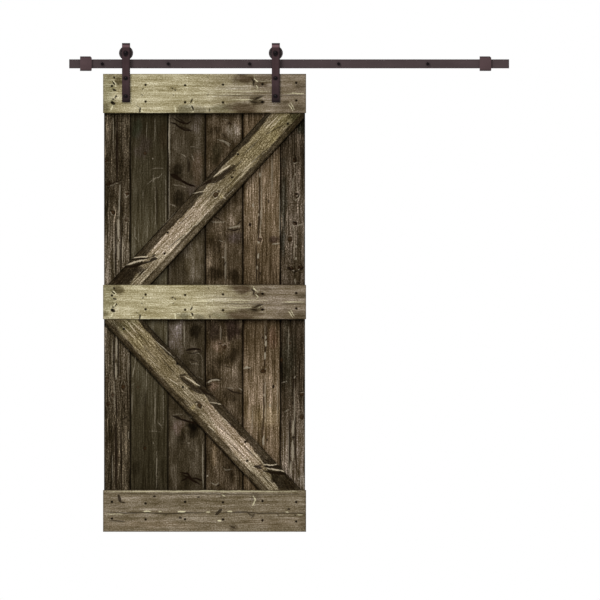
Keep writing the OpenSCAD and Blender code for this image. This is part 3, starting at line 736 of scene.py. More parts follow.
# what shows on each plank's face, in mm down from its top end and across from its left edge
PLANK_MARKS = {
    1: [
        fade((180, -0.5), (480, -0.6), (600, -0.2), (680, 0.4), (800, 0.6), (940, 1.0), (1130, 0.7),
             (1290, 0.6), (1400, -0.1), (1500, -0.6), (1850, -0.5)),
        crack(10, 0.8, (180, 60), (345, 59), (480, 60)), gleam(4, 0.5, (195, 42), (335, 42)),
        patch(220, 100, 35, 12, 0.5), crack(4, 0.8, (505, 8), (498, 35), (484, 72)),
        gleam(4, 0.5, (512, 12), (506, 38), (490, 76)), knot(395, 9, 8, 9, 0.7), knot(501, 22, 8, 9, 0.7),
        knot(548, 102, 9, 10, 0.9), gleam(5, 0.7, (540, 92), (560, 100), (552, 112)), knot(631, 39, 10, 11),
        knot(662, 102, 8, 9, 0.8), gleam(5, 0.6, (625, 28), (640, 34), (648, 46)),
        gleam(7, 0.7, (495, 72), (575, 70), (660, 66)), gleam(10, 0.95, (655, 66), (700, 65), (752, 64)),
        gleam(10, 0.9, (762, 64), (810, 65), (850, 66)), crack(6, 0.8, (673, 54), (800, 54), (925, 55)),
        crack(6, 0.8, (673, 76), (800, 77), (930, 78)), gleam(5, 0.6, (728, 84), (878, 85)),
        gleam(5, 0.5, (735, 45), (920, 47)), gleam(9, 0.85, (1193, 55), (1240, 56), (1298, 55)),
        gleam(9, 0.8, (1313, 54), (1390, 55)), crack(5, 0.8, (1193, 46), (1396, 46)),
        crack(5, 0.8, (1193, 66), (1383, 65)), gleam(4, 0.5, (1193, 39), (1383, 37)),
        gleam(5, 0.45, (1250, 110), (1416, 109)), gleam(4, 0.5, (1396, 46), (1560, 48)),
        knot(1386, 14, 8, 9, 0.8), knot(1423, 87, 9, 10, 0.8), knot(1460, 41, 8, 9, 0.8),
        crack(5, 0.7, (1463, 55), (1570, 59)), knot(1501, 19, 7, 9, 0.6),
        crack(6, 0.6, (1573, 80), (1558, 105)), crack(11, 0.75, (1580, 54), (1734, 55), (1886, 54)),
        crack(6, 0.55, (1594, 77), (1884, 79)), gleam(4, 0.4, (1714, 37), (1884, 39)),
        gleam(5, 0.5, (1624, 113), (1660, 110)), knot(1737, 67, 7, 7, 0.6),
    ],
    2: [
        fade((180, -0.6), (300, -0.4), (400, 0), (560, 0.1), (620, 0.5), (700, 0.9), (950, 1.2),
             (1130, 1.2), (1300, 0.9), (1400, 0.4), (1600, 0), (1700, -0.3), (1850, -0.6)),
        wash(245, 25, 55, 24, 0.7, (42, 44, 31)), wash(290, 150, 60, 22, 0.6, (52, 42, 28)),
        wash(330, 60, 60, 40, 0.5, (66, 56, 50)), gleam(4, 0.35, (215, 75), (310, 75)),
        gleam(4, 0.4, (195, 111), (310, 111)), knot(361, 66, 8, 8, 0.8),
        gleam(6, 0.7, (381, 100), (388, 103)), gleam(4, 0.5, (501, 76), (478, 106), (471, 129), (454, 146)),
        gleam(4, 0.4, (438, 104), (500, 104)), gleam(4, 0.35, (431, 89), (429, 152)),
        gleam(4, 0.45, (496, 112), (600, 113), (687, 114)), gleam(4, 0.4, (523, 57), (570, 57)),
        gleam(4, 0.45, (464, 159), (687, 160)), crack(4, 0.6, (500, 120), (690, 122)),
        gleam(5, 0.6, (696, 19), (742, 21), (766, 39)), gleam(5, 0.5, (686, 77), (752, 77)),
        gleam(4, 0.5, (639, 109), (696, 111)), gleam(5, 0.5, (1283, 21), (1336, 19), (1383, 6)),
        gleam(4, 0.5, (1336, 72), (1440, 73)), gleam(4, 0.5, (1446, 113), (1619, 111)),
        gleam(4, 0.4, (1416, 6), (1406, 19)), knot(1425, 34, 7, 6, 0.6),
        gleam(4, 0.4, (1450, 9), (1546, 7)), crack(4, 0.5, (1446, 69), (1619, 68)),
        gleam(4, 0.4, (1430, 149), (1597, 151)), patch(1480, 46, 50, 30, -0.4),
        gleam(4, 0.5, (1714, 119), (1886, 120)), gleam(4, 0.5, (1580, 121), (1597, 139), (1615, 147)),
        gleam(4, 0.4, (1624, 86), (1626, 139)), knot(1702, 66, 7, 7, 0.7),
        gleam(5, 0.6, (1674, 103), (1684, 104)), patch(1787, 26, 37, 20, -0.8),
        patch(1787, 139, 43, 20, -0.4), crack(4, 0.5, (1834, 69), (1884, 69)),
    ],
    3: [
        patch(860, 120, 120, 50, 1.2), patch(1215, 38, 100, 42, 0.5), patch(200, 30, 30, 50, -0.5),
        gleam(7, 0.85, (181, 7), (304, 7), (418, 7)), gleam(5, 0.5, (418, 7), (700, 6)),
        crack(6, 1.0, (200, 18), (211, 43), (227, 72), (226, 90), (213, 109)),
        crack(6, 1.0, (220, 8), (227, 33), (241, 50), (256, 73), (258, 110)),
        crack(4, 0.9, (197, 42), (215, 68), (231, 84)), crack(4, 0.8, (241, 52), (246, 74), (257, 106)),
        wash(224, 130, 40, 26, 0.6, (76, 67, 58)), crack(5, 0.6, (382, 90), (448, 92)),
        patch(430, 46, 26, 30, -1.3), crack(17, 0.9, (457, 12), (472, 42), (487, 66)),
        crack(9, 1.0, (474, 44), (498, 83), (514, 124)), patch(462, 44, 16, 34, -0.8),
        patch(548, 52, 24, 30, -1.3), gleam(4, 0.5, (505, 20), (508, 60), (520, 90)),
        gleam(4, 0.4, (330, 100), (336, 140)), wash(530, 110, 25, 30, 0.5, (76, 66, 58)),
        gleam(5, 0.6, (364, 62), (378, 82)), gleam(5, 0.6, (364, 108), (398, 118)),
        wash(424, 135, 67, 28, 0.45, (104, 88, 74)), patch(578, 48, 25, 23, -1.5),
        crack(5, 0.8, (398, 97), (448, 97)), gleam(5, 0.6, (588, 5), (608, 42)),
        patch(264, 135, 40, 33, 0.3), wash(1193, 38, 77, 37, 0.6, (98, 88, 80)),
        gleam(6, 0.6, (1125, 73), (1246, 76)), patch(1160, 127, 32, 26, -2.2),
        patch(1215, 130, 40, 30, -0.4), crack(9, 0.95, (1258, 82), (1250, 115), (1256, 150)),
        crack(4, 0.8, (1265, 80), (1272, 112), (1262, 162)),
        gleam(4, 0.4, (1276, 98), (1268, 135), (1283, 152), (1310, 160)),
        gleam(4, 0.35, (1322, 150), (1318, 108), (1300, 92)), crack(4, 0.7, (1296, 95), (1310, 135)),
        patch(1296, 148, 40, 20, -0.5), gleam(4, 0.6, (1373, 135), (1390, 162)),
        crack(6, 0.8, (1553, 32), (1570, 62)), gleam(4, 0.5, (1546, 22), (1548, 68)),
        patch(1600, 112, 16, 30, -1.8),
        crack(8, 0.95, (1552, 18), (1562, 40), (1572, 60), (1582, 100), (1590, 134)),
        gleam(4, 0.5, (1560, 90), (1566, 140)), patch(1630, 105, 26, 36, -0.9),
        wash(1604, 48, 37, 33, 0.5, (100, 84, 74)), patch(1600, 115, 25, 25, -1.4),
        gleam(6, 0.6, (1660, 159), (1774, 158), (1886, 160)),
        crack(7, 1.0, (1812, 55), (1820, 92), (1847, 112)),
        crack(7, 1.0, (1852, 60), (1835, 90), (1869, 148)), crack(6, 1.0, (1837, 118), (1851, 157)),
        crack(5, 0.9, (1822, 60), (1838, 96), (1842, 130)), patch(1841, 102, 27, 50, -0.6),
        patch(1664, 65, 30, 30, -0.6), crack(5, 0.7, (1630, 68), (1660, 77)),
        gleam(4, 0.5, (1674, 85), (1680, 100)), patch(1640, 112, 20, 23, -0.8),
    ],
    4: [
        patch(650, 130, 50, 40, 0.5), patch(910, 85, 40, 90, -0.5), patch(1160, 85, 45, 90, -0.8),
        patch(1255, 60, 40, 50, 0.3), patch(1340, 130, 40, 35, 0.5), patch(1800, 130, 40, 40, -0.5),
        patch(258, 51, 22, 26, -0.9), patch(356, 48, 50, 28, -0.8),
        wash(356, 48, 50, 28, 0.6, (50, 45, 28)), wash(264, 126, 40, 30, 0.7, (92, 82, 68)),
        crack(4, 0.7, (270, 75), (292, 97)), gleam(7, 0.55, (299, 53), (311, 93), (332, 113)),
        gleam(4, 0.5, (205, 70), (212, 110)), crack(5, 0.9, (229, 104), (222, 110), (231, 122)),
        gleam(5, 0.5, (299, 72), (311, 99), (324, 119)), patch(258, 129, 37, 30, 0.6),
        gleam(10, 1.0, (267, 156), (275, 157)), gleam(6, 0.6, (672, 22), (676, 59), (672, 89)),
        crack(5, 0.8, (649, 39), (667, 72)), patch(669, 135, 37, 30, 0.55),
        crack(6, 0.8, (686, 145), (669, 162)), gleam(7, 0.8, (702, 99), (698, 132), (690, 162)),
        crack(5, 0.9, (708, 99), (713, 132), (702, 165)), wash(742, 132, 27, 37, 0.7, (62, 52, 47)),
        patch(779, 49, 43, 28, -0.9), gleam(9, 0.4, (752, 90), (952, 92)),
        gleam(5, 0.7, (829, 72), (839, 95)), crack(5, 0.8, (852, 92), (872, 85)),
        patch(916, 42, 35, 35, -1.4), patch(919, 137, 38, 28, -1.2), gleam(4, 0.6, (756, 59), (766, 82)),
        wash(1170, 40, 50, 30, 0.8, (44, 34, 26)), wash(1165, 125, 50, 34, 0.85, (46, 34, 28)),
        patch(1330, 45, 40, 35, -0.7), patch(1290, 130, 45, 34, -0.5),
        wash(1240, 60, 30, 50, 0.5, (98, 80, 64)), gleam(6, 0.35, (1143, 70), (1211, 71)),
        gleam(5, 0.8, (1236, 79), (1228, 90)), knot(1240, 85, 8, 10, 0.8),
        crack(5, 0.8, (1228, 59), (1225, 75)), patch(1283, 122, 37, 30, -0.9),
        patch(1363, 105, 37, 40, 0.5), crack(4, 0.7, (1330, 89), (1336, 119)),
        gleam(8, 0.85, (1405, 6), (1393, 29), (1391, 70)), crack(5, 0.9, (1396, 5), (1387, 35), (1386, 75)),
        crack(6, 0.8, (1418, 9), (1411, 30)), wash(1418, 40, 26, 22, 0.7, (112, 93, 78)),
        gleam(5, 0.6, (1425, 89), (1430, 132)), crack(6, 0.8, (1430, 99), (1445, 122), (1455, 167)),
        patch(1460, 122, 30, 37, -1.1), gleam(5, 0.7, (1430, 152), (1440, 167)),
        patch(1363, 39, 23, 27, -0.6), wash(1738, 40, 60, 13, 0.6, (94, 79, 58)),
        patch(1740, 110, 60, 32, -0.9), gleam(5, 0.5, (1780, 72), (1802, 92), (1797, 125)),
        patch(1844, 109, 33, 37, -0.8), gleam(6, 0.6, (1857, 22), (1871, 47), (1857, 63)),
        crack(5, 0.8, (1876, 55), (1867, 67)), gleam(8, 0.95, (1830, 7), (1825, 11)),
        patch(1774, 9, 83, 10, -0.5), crack(4, 0.7, (1807, 155), (1887, 157)),
    ],
    5: [
        fade((400, 0.1), (650, 0.4), (760, -0.1), (860, -0.5), (930, -0.7), (1130, -1.1), (1240, -0.4),
             (1380, 0.1), (1450, 0.5), (1560, 0.3), (1700, 0), (1800, -0.4)),
        crack(5, 0.8, (424, 75), (687, 76)), gleam(5, 0.6, (421, 84), (687, 85)),
        gleam(8, 1.0, (446, 75), (468, 76)), gleam(6, 0.7, (634, 71), (648, 72)),
        gleam(8, 0.95, (591, 46), (605, 47)), crack(7, 0.7, (573, 117), (588, 117)),
        gleam(10, 0.35, (371, 133), (558, 131)), gleam(5, 0.5, (548, 165), (687, 168)),
        patch(224, 51, 40, 50, -0.5), crack(5, 0.8, (619, 73), (746, 71)),
        gleam(5, 0.6, (619, 81), (746, 79)), knot(754, 76, 10, 11), gleam(7, 0.9, (767, 66), (767, 76)),
        gleam(8, 0.95, (815, 70), (840, 70)), crack(5, 0.8, (772, 60), (952, 63)),
        crack(4, 0.7, (839, 73), (952, 73)), gleam(6, 0.7, (872, 65), (890, 65)),
        crack(7, 0.8, (899, 76), (914, 80)), crack(10, 0.95, (679, 32), (694, 33)),
        wash(752, 142, 15, 28, 0.8, (58, 44, 36)), gleam(7, 0.8, (773, 133), (770, 165)),
        gleam(5, 0.8, (619, 167), (736, 167)), patch(792, 18, 43, 17, -0.5),
        wash(902, 138, 67, 37, 0.35, (84, 68, 50)),
        crack(5, 0.8, (1126, 105), (1180, 107), (1283, 101), (1360, 98)),
        gleam(5, 0.5, (1126, 99), (1236, 98)), crack(8, 0.8, (1196, 88), (1205, 92)),
        gleam(7, 0.9, (1190, 103), (1205, 104)), gleam(8, 0.85, (1213, 105), (1240, 104)),
        gleam(8, 0.95, (1265, 101), (1298, 100)), knot(1352, 91, 9, 11),
        gleam(7, 0.8, (1341, 100), (1343, 107)), gleam(9, 0.95, (1341, 4), (1334, 18), (1336, 34)),
        patch(1350, 21, 17, 23, -0.9), wash(1206, 138, 67, 22, 0.5, (108, 82, 66)),
        crack(10, 0.95, (1415, 138), (1430, 138)), gleam(7, 0.8, (1455, 98), (1468, 99)),
        gleam(9, 1.0, (1502, 121), (1515, 124)), crack(5, 0.8, (1370, 96), (1619, 94)),
        gleam(5, 0.6, (1373, 102), (1619, 104)), patch(1526, 55, 23, 17, -0.5),
        gleam(5, 0.5, (1513, 43), (1619, 42)), wash(1563, 105, 53, 93, 0.4, (114, 98, 70)),
        gleam(5, 0.5, (1330, 158), (1597, 158)), gleam(9, 0.85, (1645, 96), (1664, 91), (1689, 93)),
        crack(6, 0.8, (1659, 109), (1670, 112)), crack(5, 0.6, (1574, 88), (1680, 86)),
        gleam(5, 0.5, (1574, 43), (1614, 40)),
    ],
    6: [
        fade((280, -0.2), (360, -0.5), (450, -0.1), (560, 0.4), (700, 0.4), (930, 0.2), (1130, -0.8),
             (1400, -0.9), (1480, -0.4), (1560, 0), (1600, 0.4), (1700, 0.7), (1880, 0.8)),
        wash(548, 16, 160, 15, 0.85, (44, 40, 30)), knot(394, 64, 10, 9, 0.8),
        gleam(5, 0.6, (403, 56), (408, 64), (402, 78)), gleam(6, 0.7, (451, 67), (462, 68)),
        gleam(5, 0.5, (464, 58), (531, 56)), gleam(5, 0.5, (514, 78), (538, 79)), knot(553, 76, 10, 11),
        crack(5, 0.9, (386, 58), (394, 72), (402, 60)), crack(6, 0.95, (545, 66), (551, 82), (562, 84)),
        wash(235, 100, 42, 26, 0.8, (30, 31, 20)), patch(330, 106, 120, 14, -0.8),
        gleam(5, 0.8, (563, 58), (576, 68), (564, 84), (548, 93)), gleam(4, 0.7, (558, 68), (548, 83)),
        knot(680, 66, 9, 10), crack(6, 0.95, (671, 56), (676, 70), (686, 76)),
        gleam(6, 0.8, (684, 55), (696, 59), (706, 66)), gleam(5, 0.6, (690, 74), (682, 108)),
        gleam(6, 0.4, (699, 63), (852, 64)), gleam(8, 0.8, (779, 71), (789, 71)),
        gleam(8, 0.8, (835, 70), (846, 70)), wash(759, 13, 93, 13, 0.8, (40, 38, 30)),
        knot(752, 43, 10, 10, 0.7), knot(886, 48, 9, 10), crack(6, 0.95, (878, 36), (890, 48), (884, 62)),
        knot(881, 91, 9, 11), crack(6, 0.95, (874, 80), (888, 92), (878, 106)),
        gleam(5, 0.8, (893, 51), (896, 68)), gleam(5, 0.8, (894, 78), (888, 88)),
        crack(5, 0.8, (882, 31), (903, 64), (884, 104)), gleam(7, 0.85, (929, 67), (959, 67)),
        patch(448, 41, 43, 33, 0.25), wash(1296, 31, 173, 37, 0.6, (52, 50, 38)),
        gleam(5, 0.4, (1146, 36), (1310, 34)), knot(1225, 41, 6, 6, 0.7), knot(1300, 5, 9, 7, 0.7),
        gleam(5, 0.5, (1406, 2), (1395, 36)), crack(5, 0.7, (1370, 58), (1430, 61)),
        gleam(5, 0.6, (1413, 64), (1619, 63)), gleam(5, 0.6, (1386, 58), (1373, 71)),
        gleam(5, 0.6, (1450, 89), (1446, 108)), knot(1455, 97, 9, 10, 0.9),
        crack(6, 0.8, (1493, 56), (1503, 58)), gleam(5, 0.6, (1540, 18), (1526, 31), (1526, 43)),
        gleam(7, 0.8, (1576, 57), (1619, 58)), crack(5, 0.8, (1563, 46), (1619, 46)),
        crack(5, 0.7, (1563, 68), (1619, 68)), knot(1560, 96, 8, 10, 0.8),
        gleam(9, 0.9, (1574, 58), (1645, 57)), crack(8, 0.8, (1652, 53), (1654, 64)),
        gleam(11, 0.9, (1664, 55), (1760, 56)), gleam(7, 0.7, (1760, 48), (1820, 45)),
        crack(5, 0.8, (1574, 42), (1807, 43)), crack(5, 0.8, (1574, 68), (1760, 68)),
        gleam(5, 0.5, (1607, 38), (1800, 37)), wash(1707, 91, 140, 20, 0.6, (92, 80, 66)),
        wash(1684, 14, 107, 17, 0.5, (92, 80, 64)), wash(1847, 98, 37, 20, 0.5, (88, 80, 66)),
    ],
}
# on the rails, in mm from the left end and down from the top edge
UPPER_RAIL_MARKS = [
    # worn left end: a broken knot line, greenish clouds
    wash(20, 90, 40, 110, 0.6, (132, 128, 100)), patch(70, 26, 22, 26, -1.7), patch(36, 13, 24, 19, -0.8),
    patch(13, 153, 15, 22, -0.9), gleam(5, 1.0, (42, 28), (58, 43), (60, 63)),
    crack(6, 0.95, (41, 33), (55, 49)), crack(8, 0.9, (48, 12), (54, 22)),
    crack(7, 0.9, (56, 96), (64, 104)), patch(48, 118, 14, 26, -0.6), crack(7, 0.9, (45, 71), (61, 76)),
    gleam(5, 0.8, (61, 89), (51, 104), (48, 121)), crack(6, 0.9, (42, 119), (58, 106)),
    crack(12, 0.95, (36, 130), (56, 136)), gleam(8, 0.95, (46, 144), (34, 168)),
    # long raised lines of the grain
    gleam(4, 0.5, (4, 87), (80, 87)), gleam(4, 0.4, (132, 83), (290, 84)),
    gleam(5, 0.75, (199, 84), (239, 85)), gleam(6, 0.95, (400, 85), (481, 85)),
    gleam(4, 0.6, (19, 116), (83, 116)), gleam(4, 0.7, (138, 116), (239, 116)),
    gleam(5, 0.8, (315, 116), (351, 116)), gleam(4, 0.4, (239, 116), (553, 117)),
    gleam(4, 0.7, (500, 78), (766, 80)), gleam(3, 0.5, (500, 92), (660, 93)),
    gleam(5, 0.6, (572, 117), (679, 118)), crack(3, 0.5, (500, 98), (770, 99)),
    crack(3, 0.4, (500, 65), (660, 64)), gleam(4, 0.8, (810, 88), (920, 90)),
    crack(4, 0.5, (810, 98), (920, 99)), gleam(5, 0.5, (132, 174), (324, 175)),
    # small knots and checks
    crack(5, 0.7, (178, 71), (185, 65)), crack(4, 0.6, (173, 93), (183, 99)),
    crack(6, 0.8, (313, 65), (321, 66)), crack(5, 0.9, (327, 72), (332, 77)),
    gleam(6, 0.8, (318, 75), (326, 77)), patch(321, 69, 18, 8, -0.5), crack(5, 0.6, (318, 96), (323, 98)),
    crack(6, 0.9, (170, 154), (166, 171)), gleam(10, 1.0, (172, 166), (180, 171)),
    crack(7, 0.9, (166, 176), (170, 160)), crack(4, 0.4, (150, 140), (165, 155)),
    gleam(8, 1.0, (325, 146), (329, 162), (331, 177)), wash(367, 159, 36, 20, 0.85, (106, 100, 78)),
    crack(6, 0.9, (406, 113), (399, 132)), crack(6, 0.9, (403, 145), (410, 163)),
    gleam(6, 0.8, (394, 105), (398, 109)), gleam(6, 0.8, (410, 135), (412, 125)),
    gleam(6, 0.8, (396, 156), (403, 159)), gleam(9, 0.9, (406, 172), (413, 171)),
    gleam(5, 0.6, (382, 59), (384, 53)), crack(4, 0.5, (478, 10), (480, 23)),
    crack(4, 0.5, (474, 100), (481, 90)), wash(437, 165, 30, 19, 0.75, (112, 105, 86)),
    crack(6, 0.7, (485, 158), (487, 172)),
    # browner right part with its lightning-shaped scar and the dark knot below it
    wash(545, 160, 58, 19, 0.75, (106, 100, 76)), wash(640, 20, 56, 24, 0.95, (76, 63, 47)),
    wash(741, 20, 42, 18, 0.85, (90, 78, 62)), gleam(4, 0.95, (684, 2), (687, 20), (699, 34), (708, 40)),
    gleam(4, 0.9, (693, 50), (704, 62), (696, 74)), crack(8, 0.8, (676, 22), (688, 36), (682, 52)),
    wash(712, 50, 38, 14, 0.85, (72, 60, 44)), gleam(3, 0.35, (708, 37), (766, 32)),
    patch(698, 120, 34, 20, -1.7), crack(6, 0.7, (686, 120), (704, 108), (730, 101)),
    gleam(3, 0.6, (700, 121), (714, 114), (728, 108)), crack(7, 0.7, (674, 128), (700, 131)),
    crack(7, 0.8, (717, 129), (734, 128)), wash(640, 156, 74, 26, 0.92, (80, 67, 51)),
    patch(738, 167, 56, 10, 0.3), gleam(4, 0.85, (841, 134), (854, 152), (864, 170)),
    gleam(4, 0.7, (851, 125), (861, 145), (870, 164)), patch(890, 155, 38, 24, -0.9),
    patch(820, 150, 30, 20, -0.4), patch(901, 56, 26, 16, -0.9), patch(829, 128, 14, 8, -0.7),
]
BOTTOM_RAIL_MARKS = [
    gleam(7, 0.5, (2, 6), (486, 6), (919, 7)), crack(4, 0.5, (3, 18), (486, 19), (918, 20)),
    crack(4, 0.7, (7, 99), (83, 106), (177, 103), (297, 109), (380, 104), (486, 103)),
    crack(4, 0.7, (486, 103), (654, 101), (707, 106), (919, 106)), gleam(7, 0.9, (180, 98), (220, 97)),
    gleam(6, 0.7, (250, 98), (267, 97)), gleam(7, 0.85, (337, 98), (377, 99)),
    gleam(7, 0.8, (467, 101), (491, 101)), gleam(5, 0.5, (7, 108), (103, 111)),
    gleam(6, 0.8, (564, 98), (591, 98)), gleam(6, 0.7, (829, 100), (846, 101)),
    gleam(5, 0.5, (881, 113), (908, 113)), crack(13, 0.8, (72, 22), (80, 57)),
    crack(6, 0.8, (75, 54), (102, 59)), patch(105, 42, 20, 15, 0.4), patch(43, 49, 33, 27, -0.35),
    crack(7, 0.9, (228, 29), (240, 29)), crack(6, 0.8, (428, 34), (440, 33)),
    crack(8, 0.8, (345, 127), (357, 128)), crack(5, 0.6, (290, 112), (283, 119)),
    crack(5, 0.6, (30, 140), (97, 142)), patch(90, 79, 30, 13, -0.35), patch(297, 65, 127, 23, -0.2),
    wash(230, 155, 233, 20, 0.35, (132, 116, 96)), gleam(5, 0.6, (537, 19), (557, 30)),
    patch(547, 29, 20, 17, -0.5), crack(12, 0.8, (512, 114), (541, 87)),
    wash(694, 32, 23, 20, 0.65, (84, 74, 60)), gleam(6, 0.7, (681, 24), (693, 45), (674, 82)),
    crack(6, 0.6, (654, 102), (671, 115), (687, 112), (674, 129)), gleam(7, 1.0, (521, 139), (538, 139)),
    patch(591, 170, 18, 15, -0.8), crack(6, 0.7, (581, 165), (601, 175)),
    crack(8, 0.8, (839, 86), (850, 88)), patch(910, 115, 22, 80, -0.45),
    wash(774, 149, 133, 27, 0.4, (118, 104, 86)), crack(5, 0.6, (869, 112), (878, 119)),
    crack(5, 0.5, (794, 112), (803, 117)),
]


def narrowed(marks, share):
    """The same marks on a board that is narrower by that share."""
    found = []
    for kind, *rest in marks:
        if kind in ("crack", "gleam"):
            width, strength, points = rest
            rest = [width, strength, tuple((u, v * share) for u, v in points)]
        else:
            rest = [rest[0], rest[1] * share, rest[2], rest[3] * share, *rest[4:]]
        found.append((kind, *rest))
    return found


RAIL_MARKS = {"top_rail": UPPER_RAIL_MARKS, "middle_rail": narrowed(UPPER_RAIL_MARKS, 156 / 178),
              "bottom_rail": BOTTOM_RAIL_MARKS}
